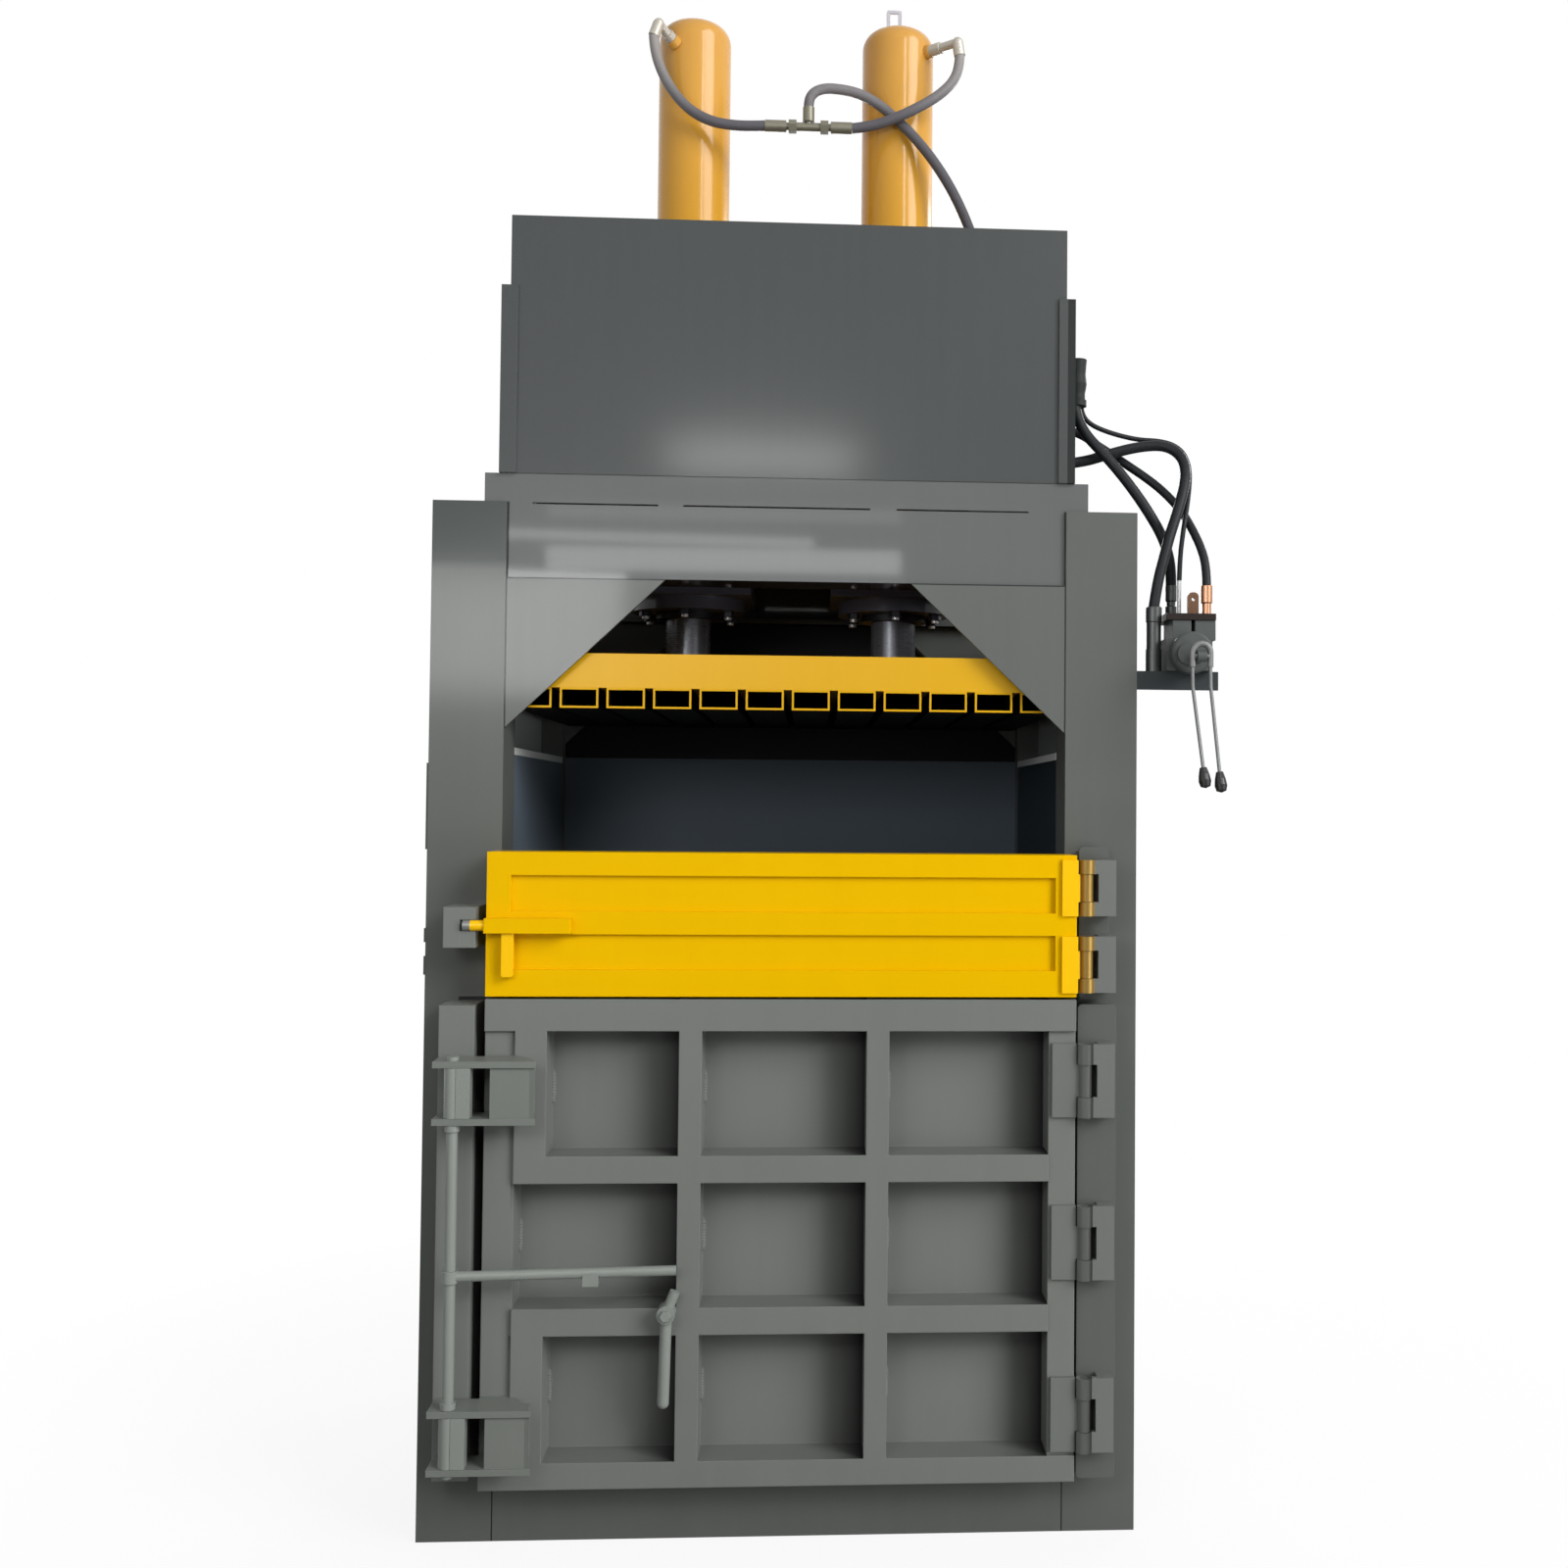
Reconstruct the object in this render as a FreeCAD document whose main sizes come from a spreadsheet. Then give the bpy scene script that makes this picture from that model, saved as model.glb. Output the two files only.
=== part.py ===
import FreeCAD, Part
import math
import os
import re

import Sketcher

# Vertical recycling baler, in millimetres: X to the right, Y to the back, Z up.
# The origin is the middle of the machine's footprint, on the floor.

V = FreeCAD.Vector
doc = FreeCAD.newDocument("RecyclingBaler")

# ---------------------------------------------------------------- driving dimensions

SIZES = {
    # frame: four box posts on a welded base
    "opening_width": 1100,
    "frame_depth": 860,
    "post_width": 143,
    "post_depth": 120,
    "post_wall": 8,
    "post_over": 148,
    "base_height": 118,
    "base_beam": 100,
    "base_wall": 8,
    "floor_thick": 12,
    "lug_thick": 6,
    # chamber walls
    "wall_thick": 8,
    "wall_top": 1526,
    "rim_height": 15,
    "rim_width": 48,
    "rim_proud": 1,
    "wall_rib_height": 60,
    "wall_rib_depth": 60,
    "wall_rib_first": 250,
    "wall_rib_pitch": 340,
    "back_wall_set": 790,
    "guard_thick": 3,
    "guard_set": 50,
    # corner gussets under the crosshead
    "gusset_width": 309,
    "gusset_height": 295,
    "gusset_thick": 8,
    "gusset_flange": 52,
    "seam_gap": 0.5,
    # crosshead
    "crosshead_bottom": 1855,
    "crosshead_height": 205,
    "crosshead_lap": 45,
    "crosshead_flange": 100,
    "crosshead_plate": 12,
    "crosshead_seam": 3,
    "deck_thick": 6,
    "saddle_bar": 20,
    "saddle_half": 125,
    "saddle_up": 40,
    "saddle_plate": 280,
    "saddle_plate_thick": 33,
    # hydraulic cylinders
    "cylinder_spacing": 452,
    "cylinder_set": 400,
    "cylinder_radius": 79,
    "bore_radius": 62.5,
    "cylinder_top": 3145,
    "cylinder_dome": 40,
    "cylinder_cap": 50,
    "eye_height": 55,
    "left_port_drop": 67,
    "right_port_drop": 59,
    "flange_radius": 122.5,
    "flange_thick": 28,
    "bolt_circle": 103,
    "bolt_radius": 8,
    "gland_flange": 14,
    "gland_length": 60,
    "rod_radius": 49.5,
    "piston_length": 60,
    "piston_set": 10,
    "running_gap": 0.05,
    "free_gap": 0.3,
    # platen
    "platen_gap": 10,
    "platen_front_set": 25,
    "platen_back_gap": 15,
    "platen_drop": 253,
    "platen_depth": 68,
    "platen_plate": 12,
    "platen_rib_near": 116,
    "platen_rib_far": 336,
    "tube_width": 75,
    "tube_height": 40,
    "tube_wall": 4,
    "tube_pitch": 91,
    "rod_foot_radius": 85,
    "rod_foot_thick": 18,
    # doors: both stand in front of the posts
    "door_gap": 2,
    "door_set": 90,
    "door_lap": 10,
    "door_skin": 8,
    "door_split": 5,
    "feed_height": 272,
    "feed_rail_top": 44,
    "feed_rail_middle": 43,
    "feed_rail_bottom": 50,
    "feed_recess_low": 67,
    "feed_stile_left": 45,
    "feed_stile_right": 41,
    "sill_gap": 2,
    "main_height": 913,
    "main_rail_top": 60,
    "main_rail_bottom": 49,
    "stile_left": 57,
    "stile_right": 52,
    "stile_set": 8,
    "edge_rib": 59,
    "door_rib": 43,
    "door_rib_left": -175,
    "door_rib_right": 180,
    "door_band": 51,
    "band_high_up": 593,
    "band_low_up": 309,
    # hinges
    "pin_radius": 7,
    "knuckle_radius": 15,
    "knuckle_middle": 12,
    "leaf_thick": 12,
    "leaf_reach": 56,
    "leaf_notch": 22,
    "leaf_foot": 30,
    "main_axis_out": 28,
    "main_hinge_height": 140,
    "main_knuckle_end": 39,
    "hinge_low_up": 56,
    "hinge_middle_up": 381,
    "hinge_high_up": 689,
    "main_leaf_width": 47,
    "main_pad_set": 60,
    "main_pad_out": 18,
    "main_pad_width": 75,
    "main_pad_under": 6,
    "main_pad_drop": 12,
    "feed_axis_out": 31,
    "feed_axis_set": 80,
    "feed_hinge_height": 108,
    "feed_knuckle_end": 27,
    "feed_hinge_first": 8,
    "feed_hinge_second": 155,
    "feed_leaf_width": 31,
    "feed_leaf_thick": 6,
    "feed_pad_set": 30,
    "feed_pad_out": 24,
    "feed_pad_width": 59,
    "feed_pad_under": 11,
    "feed_pad_over": 15,
    "pad_plate": 10,
    "pad_corner": 9,
    # main door latch
    "column_out": 95,
    "column_width": 66,
    "column_rise": 19,
    "column_drop": 12,
    "column_wall": 8,
    "cap_hole": 5,
    "notch_depth": 14,
    "notch_wall": 17,
    "shaft_out": 55,
    "shaft_set": 145,
    "shaft_radius": 10.5,
    "shaft_over": 7,
    "yoke_inset": 5,
    "yoke_reach": 108,
    "yoke_reach_back": 69,
    "yoke_thick": 12,
    "yoke_front_set": 160,
    "yoke_column_gap": 3,
    "yoke_low_up": 55,
    "yoke_high_up": 690,
    "yoke_height": 117,
    "lug_box_near": 24,
    "lug_box_far": 96,
    "lug_box_set": 155,
    "cam_reach": 66,
    "cam_tongue": 12,
    "cam_hub": 16,
    "cam_bar_near": 8,
    "cam_bar_far": 34,
    "cam_gap": 0.5,
    "collar_radius": 14,
    "collar_height": 12,
    "lever_up": 412,
    "lever_radius": 9.5,
    "lever_end_x": 195,
    "lever_end_set": 115,
    "lever_hub_radius": 14.5,
    "lever_hub_height": 22,
    "stop_width": 29,
    "stop_height": 25,
    "stop_x": 351,
    # catch handle on the main door
    "catch_x": 213,
    "catch_up": 22,
    "catch_radius": 17,
    "catch_set": 125,
    "catch_length": 177,
    "catch_rod": 11,
    "catch_pin": 6,
    "catch_pin_length": 25,
    "catch_stub": 43,
    # feed door bolt
    "bolt_up": 134,
    "bolt_set": 102.5,
    "bolt_rod": 10,
    "bolt_tip_out": 40,
    "bolt_end_in": 80,
    "bolt_case": 25,
    "bolt_case_height": 28,
    "bolt_case_length": 160,
    "bolt_travel": 45,
    "bolt_handle_in": 32,
    "bolt_handle_width": 22,
    "bolt_handle_drop": 96,
    "bolt_handle_thick": 12,
    "keeper_out": 87,
    "keeper_width": 60,
    "keeper_drop": 42,
    "keeper_height": 76,
    "keeper_gap": 0.5,
    # cover over the power unit
    "cover_height": 510,
    "cover_sheet": 3,
    "cover_return": 24,
    "cover_set": 6,
    "cover_side_height": 370,
    "cover_side_thick": 6,
    "cover_side_gap": 17,
    "cover_side_depth": 730,
    "cover_lip": 33,
    # power unit on the deck
    "tank_in": 20,
    "tank_clear": 20,
    "tank_depth": 520,
    "tank_height": 360,
    "tank_wall": 4,
    "motor_in": 115,
    "motor_radius": 92,
    "motor_length": 270,
    "motor_height": 115,
    "pump_radius": 45,
    "pump_length": 90,
    "manifold_width": 80,
    "manifold_height": 120,
    "union_length": 39,
    # hoses
    "hose_radius": 11,
    "return_radius": 9,
    "line_radius": 5,
    "ferrule_radius": 12.5,
    "tee_x": 28,
    "tee_set": 290,
    "tee_z": 2884,
    "sleeve_out": 20,
    "sleeve_set": 100,
    "sleeve_up": 179,
    "sleeve_height": 96,
    # control valve on the right-hand post
    "shelf_length": 164,
    "shelf_depth": 110,
    "shelf_height": 37,
    "shelf_thick": 6,
    "shelf_top": 1687,
    "valve_out": 99,
    "valve_half": 44,
    "valve_low": 64,
    "valve_high": 102,
    "valve_lid": 13,
    "boss_radius": 41,
    "fork_out": 5.5,
    "fork_set": 105,
    "fork_up": 21,
    "fork_radius": 5.8,
    "fork_half": 17.6,
    "fork_pin": 5,
    "fork_arch_up": 27.6,
    "lever_wire": 3.5,
}

# Places worked out from the sizes.
PLACES = {
    "inner": "opening_width / 2",
    "outer": "inner + post_width",
    "front": "-frame_depth / 2",
    "rear": "frame_depth / 2",
    "post_back": "front + post_depth",
    "rear_post_front": "rear - post_depth",
    "floor_top": "base_height + floor_thick",
    "back_wall": "front + back_wall_set",
    "crosshead_top": "crosshead_bottom + crosshead_height",
    "crosshead_face": "front + post_wall",
    "deck_top": "crosshead_top + deck_thick",
    "cylinder_y": "front + cylinder_set",
    "flange_top": "saddle_bottom - saddle_plate_thick",
    "flange_bottom": "flange_top - flange_thick",
    "cap_bottom": "cylinder_top - cylinder_cap",
    "piston_bottom": "cap_bottom - piston_set - piston_length",
    "platen_front": "front + platen_front_set",
    "platen_back": "back_wall - platen_back_gap",
    "platen_half": "inner - platen_gap",
    "tube_top": "platen_bottom + tube_height",
    "platen_top": "tube_top + platen_depth",
    "platen_floor": "tube_top + platen_plate",
    "door_front": "front - door_set",
    "door_back": "front - door_gap",
    "door_half": "door_width / 2",
    "stile_front": "door_front + stile_set",
    "skin_front": "door_back - door_skin",
    "main_axis_y": "door_front",
    "feed_axis_y": "front - feed_axis_set",
    "main_pad_front": "front - main_pad_set",
    "feed_pad_front": "front - feed_pad_set",
    "shaft_y": "front - shaft_set",
    "yoke_front": "front - yoke_front_set",
    "column_right": "column_left - column_width",
    "bolt_y": "front - bolt_set",
    "cover_front": "front + cover_set",
    "cover_half": "inner",
    "tee_y": "front + tee_set",
    "fork_y": "front - fork_set",
    "shelf_back": "front + shelf_depth",
    "crosshead_width": "opening_width + 2 * crosshead_lap",
    "door_width": "opening_width + 2 * door_lap",
    "main_axis": "inner + main_axis_out",
    "feed_axis": "inner + feed_axis_out",
    "main_pad_left": "inner + main_pad_out",
    "feed_pad_left": "inner + feed_pad_out",
    "column_left": "inner + column_out",
    "notch_left": "column_left - notch_wall",
    "shaft_x": "inner + shaft_out",
    "yoke_left": "column_left - yoke_inset",
    "yoke_right": "door_half - yoke_reach",
    "yoke_right_back": "door_half - yoke_reach_back",
    "lug_box_left": "door_half - lug_box_near",
    "lug_box_right": "door_half - lug_box_far",
    "bolt_tip_x": "door_half + bolt_tip_out",
    "bolt_end_x": "door_half - bolt_end_in",
    "bolt_case_right": "door_half - bolt_case_length",
    "bolt_handle_left": "door_half - bolt_handle_in",
    "keeper_left": "inner + keeper_out",
    "tank_left": "inner - tank_in",
    "motor_x": "inner - motor_in",
    "cover_side_out": "inner + cover_side_gap",
    "sleeve_x": "cover_side_out + sleeve_out",
    "valve_x": "outer + valve_out",
    "fork_x": "valve_x + fork_out",
    "feed_bottom": "main_top + door_split",
    "feed_top": "feed_bottom + feed_height",
    "feed_hinge_low": "feed_bottom + feed_hinge_first",
    "feed_hinge_high": "feed_bottom + feed_hinge_second",
    "feed_pad_bottom": "feed_bottom - feed_pad_under",
    "feed_pad_top": "feed_top + feed_pad_over",
    "bolt_z": "feed_bottom + bolt_up",
    "bolt_handle_bottom": "bolt_z - bolt_handle_drop",
    "keeper_bottom": "bolt_z - keeper_drop",
    "main_bottom": "floor_top + sill_gap",
    "main_top": "main_bottom + main_height",
    "column_bottom": "main_bottom + column_rise",
    "column_top": "main_top - column_drop",
    "main_pad_bottom": "main_bottom - main_pad_under",
    "main_pad_top": "main_top - main_pad_drop",
    "band_high": "main_bottom + band_high_up",
    "band_low": "main_bottom + band_low_up",
    "main_hinge_low": "main_bottom + hinge_low_up",
    "main_hinge_middle": "main_bottom + hinge_middle_up",
    "main_hinge_high": "main_bottom + hinge_high_up",
    "yoke_low": "main_bottom + yoke_low_up",
    "yoke_high": "main_bottom + yoke_high_up",
    "lever_z": "main_bottom + lever_up",
    "catch_z": "band_low + catch_up",
    "saddle_bottom": "crosshead_bottom + saddle_up",
    "platen_bottom": "crosshead_bottom - platen_drop",
    "post_height": "crosshead_bottom + post_over",
    "cover_top": "crosshead_top + cover_height",
    "cover_side_top": "crosshead_top + cover_side_height",
    "sleeve_bottom": "crosshead_top + sleeve_up",
    "fork_z": "shelf_top + fork_up",
    "fork_arch_z": "shelf_top + fork_arch_up",
}

sheet = doc.addObject("Spreadsheet::Sheet", "Sizes")
for row, (name, value) in enumerate(SIZES.items(), start=1):
    sheet.set(f"A{row}", str(value))
    sheet.setAlias(f"A{row}", name)
doc.recompute()

WORD = re.compile(r"[a-z]+(?:_[a-z]+)*")


def formula(text):
    """A formula in words, with each size and place spelled out as sheet cells."""
    def spell(match):
        word = match.group(0)
        if word in PLACES:
            return "(" + formula(PLACES[word]) + ")"
        return "Sizes." + word if word in SIZES else word
    return WORD.sub(spell, str(text))


def number(text):
    """The present value of a formula."""
    return float(sheet.evalExpression(formula(text)))


def point(x, y, z):
    return V(number(x), number(y), number(z))


# ---------------------------------------------------------------- ways to make a piece

def bind(obj, **cells):
    for key, text in cells.items():
        obj.setExpression(key.replace("__", "."), formula(text))
    return obj


def block(x, y, z):
    """A box between two formulas along each axis."""
    box = doc.addObject("Part::Box", "Block")
    spans = {}
    for axis, side, (a, b) in zip("xyz", ("Length", "Width", "Height"), (x, y, z)):
        low, high = (a, b) if number(a) < number(b) else (b, a)
        spans[side] = f"({high}) - ({low})"
        spans["Placement__Base__" + axis] = low
    return bind(box, **spans)


TURN = {
    "x": FreeCAD.Rotation(V(0, 0, 1), V(1, 0, 0)),
    "y": FreeCAD.Rotation(V(0, 0, 1), V(0, 1, 0)),
    "z": FreeCAD.Rotation(),
}


def rod(axis, start, radius, length):
    """A round bar from a start place, along +X, +Y or +Z."""
    bar = doc.addObject("Part::Cylinder", "Rod")
    bar.Placement.Rotation = TURN[axis]
    x, y, z = start
    return bind(bar, Radius=radius, Height=length,
                Placement__Base__x=x, Placement__Base__y=y, Placement__Base__z=z)


def slanted_rod(start, end, radius):
    """A round bar between two places, each a triple of formulas."""
    a, b = point(*start), point(*end)
    bar = doc.addObject("Part::Cylinder", "SlantedRod")
    bar.Placement = FreeCAD.Placement(a, FreeCAD.Rotation(V(0, 0, 1), b - a))
    bar.Height = (b - a).Length
    return bind(bar, Radius=radius)


def ball(centre, radius):
    x, y, z = centre
    return bind(doc.addObject("Part::Sphere", "Ball"), Radius=radius,
                Placement__Base__x=x, Placement__Base__y=y, Placement__Base__z=z)


def fuse(*shapes):
    joined = doc.addObject("Part::MultiFuse", "Joined")
    joined.Shapes = list(shapes)
    joined.Refine = True
    return joined


def cut(base, *tools):
    """The base with each tool taken away."""
    for tool in tools:
        less = doc.addObject("Part::Cut", "Less")
        less.Base, less.Tool = base, tool
        base = less
    return base


def common(base, tool):
    both = doc.addObject("Part::Common", "Both")
    both.Base, both.Tool = base, tool
    return both


def group(*shapes):
    """Like pieces, each its own solid, kept together."""
    together = doc.addObject("Part::Compound", "Group")
    together.Links = list(shapes)
    return together


PLANES = {"XY": "XY_Plane", "XZ": "XZ_Plane", "YZ": "YZ_Plane"}


def sketch(body, plane, loops, height):
    """Closed straight-sided outlines on a body's own plane; height is along the plane's axis."""
    outline = body.newObject("Sketcher::SketchObject", "Outline")
    base = [o for o in body.Origin.OriginFeatures if o.Role == PLANES[plane]][0]
    outline.AttachmentSupport = [(base, "")]
    outline.MapMode = "FlatFace"
    outline.setExpression("AttachmentOffset.Base.z", formula(f"-({height})" if plane == "XZ" else height))
    for corners in loops:
        spots = [V(number(a), number(b), 0) for a, b in corners]
        ids = [outline.addGeometry(Part.LineSegment(p, q), False)
               for p, q in zip(spots, spots[1:] + spots[:1])]
        for this, following in zip(ids, ids[1:] + ids[:1]):
            outline.addConstraint(Sketcher.Constraint("Coincident", this, 2, following, 1))
        for line, corner, spot in zip(ids, corners, spots):
            for kind, text, value in zip(("DistanceX", "DistanceY"), corner, (spot.x, spot.y)):
                index = outline.addConstraint(Sketcher.Constraint(kind, line, 1, value))
                outline.setExpression(f"Constraints[{index}]", formula(text))
    return outline


def prism(plane, loops, span):
    """Outlines padded between two formulas along the plane's axis."""
    low, high = span if number(span[0]) < number(span[1]) else span[::-1]
    body = doc.addObject("PartDesign::Body", "Prism")
    pad = body.newObject("PartDesign::Pad", "Pad")
    pad.Profile = sketch(body, plane, loops, low)
    pad.Reversed = plane == "XZ"
    bind(pad, Length=f"({high}) - ({low})")
    body.Tip = pad
    return body


def pocket(body, plane, loops, span):
    """Outlines cut into a body between two formulas along the plane's axis."""
    low, high = span
    hole = body.newObject("PartDesign::Pocket", "Pocket")
    hole.Profile = sketch(body, plane, loops, low)
    hole.Reversed = plane != "XZ"
    bind(hole, Length=f"({high}) - ({low})")
    body.Tip = hole
    return body


def turned(profile, base, axis="z"):
    """A lathe-turned piece: corners as radius and height, on an axis through a base place."""
    body = doc.addObject("PartDesign::Body", "Turned")
    lathe = body.newObject("PartDesign::Revolution", "Revolution")
    lathe.Profile = sketch(body, "XZ", [profile], "0")
    lathe.ReferenceAxis = (lathe.Profile[0], ["V_Axis"])
    lathe.Angle = 360
    body.Tip = lathe
    body.Placement.Rotation = TURN[axis]
    x, y, z = base
    return bind(body, Placement__Base__x=x, Placement__Base__y=y, Placement__Base__z=z)


def rounded(body, radius, chosen):
    """Fillets on the edges that a test picks."""
    doc.recompute()
    names = [f"Edge{n}" for n, edge in enumerate(body.Tip.Shape.Edges, start=1) if chosen(edge)]
    solid = body.Tip
    fillet = body.newObject("PartDesign::Fillet", "Rounding")
    fillet.Base = (solid, names)
    bind(fillet, Radius=radius)
    body.Tip = fillet
    return body


def edge_along(axis):
    """Tests for a straight edge along one axis."""
    def chosen(edge):
        run = edge.lastVertex().Point - edge.firstVertex().Point
        return len(edge.Vertexes) == 2 and abs(abs(getattr(run, axis)) - run.Length) < 1e-6
    return chosen


def rectangle(left, right, low, high):
    return [(left, low), (right, low), (right, high), (left, high)]


def hexagon(across, centre_a, centre_b):
    """Corners of a hexagon of a given half width across flats."""
    reach = f"(({across}) / cos(30))"
    return [(f"({centre_a}) + {reach} * cos({60 * n})", f"({centre_b}) + {reach} * sin({60 * n})")
            for n in range(6)]


NODES = {}


def keep(name, obj):
    obj.Label = name
    NODES[name] = obj
    return obj


def pipe_along(points, radius):
    """A tube on straight runs joined by tangent arcs, each as large as its two runs allow."""
    spots = [V(*p) for p in points]
    edges, radii, here = [], [], spots[0]
    for before, corner, after in zip(spots, spots[1:], spots[2:]):
        back, ahead = before - corner, after - corner
        half_turn = (math.pi - back.getAngle(ahead)) / 2
        setback = 0.45 * min(back.Length, ahead.Length)
        radii.append(setback / math.tan(half_turn))
        back.normalize()
        ahead.normalize()
        start, end = corner + back * setback, corner + ahead * setback
        bisector = (back + ahead).normalize()
        middle = corner + bisector * (radii[-1] / math.cos(half_turn) - radii[-1])
        edges += [Part.LineSegment(here, start).toShape(), Part.Arc(start, middle, end).toShape()]
        here = end
    edges.append(Part.LineSegment(here, spots[-1]).toShape())
    path = Part.Wire(edges)
    ring = Part.Wire([Part.Circle(spots[0], spots[1] - spots[0], radius).toShape()])
    tube = path.makePipeShell([ring], True, False)
    return tube, path.Length, radii


def hose(name, points, radius):
    """A free hose: its solid follows the route; its arcs and volume are printed."""
    size = number(radius)
    tube, length, radii = pipe_along(points, size)
    ratio = tube.Volume / (math.pi * size ** 2 * length)
    print(f"{name}: length {length:.0f}, volume ratio {ratio:.4f}, radii "
          + " ".join(f"{r:.0f}" for r in radii))
    piece = doc.addObject("Part::Feature", "Hose")
    piece.Shape = tube
    return keep(name, piece)


SIDES = (("left", -1), ("right", 1))


# ---------------------------------------------------------------- frame

def make_posts():
    """Box posts; each is notched on its inner side for the crosshead channel's end."""
    for side, hand in SIDES:
        for place, near, far, face, rim in (
                ("front", "front", "post_back", "front", "post_wall"),
                ("rear", "rear_post_front", "rear", "rear", "-post_wall")):
            shell = prism("XY", [
                rectangle(f"{hand} * inner", f"{hand} * outer", near, far),
                rectangle(f"{hand} * (inner + post_wall)", f"{hand} * (outer - post_wall)",
                          f"{near} + post_wall", f"{far} - post_wall")], ("0", "post_height"))
            beyond = "post_back + 1" if place == "front" else "rear_post_front - 1"
            notch = block((f"{hand} * (inner - 1)", f"{hand} * (crosshead_width / 2 + seam_gap)"),
                          (f"{face} + {rim}", beyond), ("crosshead_bottom - seam_gap", "post_height + 1"))
            post = cut(shell, notch)
            if (place, side) == ("front", "left"):
                pads = [block(("-outer - lug_thick", "-outer"), ("front + 12", "post_back - 12"), span)
                        for span in (("1323", "1491"), ("1143", "1170"), ("1080", "1116"))]
                post = fuse(post, *pads)
            keep(f"post_{place}_{side}", post)


def box_beam(plane, a, b, span):
    """A rectangular tube of the base: a and b are its section's two spans."""
    (low_a, high_a), (low_b, high_b) = a, b
    return prism(plane, [
        rectangle(low_a, high_a, low_b, high_b),
        rectangle(f"{low_a} + base_wall", f"{high_a} - base_wall",
                  f"{low_b} + base_wall", f"{high_b} - base_wall")], span)


def make_base():
    upright = ("0", "base_height")
    beams = [box_beam("YZ", (low, high), upright, ("-inner", "inner")) for low, high in (
        ("front", "front + base_beam"), ("rear - base_beam", "rear"))]
    beams.append(box_beam("YZ", ("-base_beam / 2", "base_beam / 2"), upright,
                          ("-inner + base_beam", "inner - base_beam")))
    for low, high in (("-inner", "-inner + base_beam"), ("inner - base_beam", "inner")):
        beams.append(box_beam("XZ", (low, high), upright, ("front + base_beam", "rear - base_beam")))
    keep("base_frame", group(*beams))
    keep("floor_plate", block(("-inner", "inner"), ("front", "back_wall"), ("base_height", "floor_top")))


def make_walls():
    """Ribbed chamber walls; each side wall carries a rim bar along its top."""
    for side, hand in SIDES:
        plate = block((f"{hand} * inner", f"{hand} * (inner + wall_thick)"),
                      ("post_back", "rear_post_front"), ("0", "wall_top - rim_height"))
        rim = block((f"{hand} * (inner - rim_proud)", f"{hand} * (inner + rim_width)"),
                    ("post_back", "rear_post_front"), ("wall_top - rim_height", "wall_top"))
        ribs = [block((f"{hand} * (inner + wall_thick)", f"{hand} * (inner + wall_thick + wall_rib_depth)"),
                      ("post_back", "rear_post_front"),
                      (f"wall_rib_first + {n} * wall_rib_pitch",
                       f"wall_rib_first + {n} * wall_rib_pitch + wall_rib_height")) for n in range(4)]
        keep(f"side_wall_{side}", fuse(plate, rim, *ribs))
    back = block(("-inner", "inner"), ("back_wall", "back_wall + wall_thick"), ("base_height", "wall_top"))
    ribs = [block(("-inner", "inner"), ("back_wall + wall_thick", "rear"),
                  (f"wall_rib_first + {n} * wall_rib_pitch",
                   f"wall_rib_first + {n} * wall_rib_pitch + wall_rib_height")) for n in range(4)]
    keep("back_wall", fuse(back, *ribs))


def make_guards():
    """Sheets that close the sides and the back between the chamber and the crosshead."""
    sheets = [block((f"{hand} * (inner + guard_set)", f"{hand} * (inner + guard_set + guard_thick)"),
                    ("post_back", "rear_post_front"), ("wall_top", "crosshead_bottom"))
              for side, hand in SIDES]
    sheets.append(block(("-inner", "inner"), ("back_wall", "back_wall + guard_thick"),
                        ("wall_top", "crosshead_bottom")))
    keep("upper_guards", group(*sheets))


def make_gussets():
    """Corner plates; the rear ones have a flange along their slope, down to the raised platen."""
    fronts, rears = [], []
    for side, hand in SIDES:
        corner = (f"{hand} * (inner - seam_gap)", "crosshead_bottom - seam_gap")
        low = (f"{hand} * (inner - seam_gap)", "crosshead_bottom - gusset_height")
        high = (f"{hand} * (inner - gusset_width)", "crosshead_bottom - seam_gap")
        fronts.append(prism("XZ", [[corner, low, high]], ("front", "front + gusset_thick")))
        web = prism("XZ", [[corner, low, high]], ("back_wall - gusset_thick", "back_wall - seam_gap"))
        fold = [low, high, (f"{hand} * (inner - gusset_width + 1.4 * gusset_thick)", high[1]),
                (low[0], "crosshead_bottom - gusset_height + 1.4 * gusset_thick")]
        lip = prism("XZ", [fold], ("back_wall - gusset_thick - gusset_flange", "back_wall - gusset_thick"))
        under = block((f"{hand} * (inner + 10)", "0"), ("0", "rear"), ("wall_top", "platen_top + gusset_thick"))
        rears.append(fuse(web, cut(lip, under)))
    keep("front_gussets", group(*fronts))
    keep("rear_gussets", group(*rears))


# ---------------------------------------------------------------- crosshead and cylinders

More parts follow.
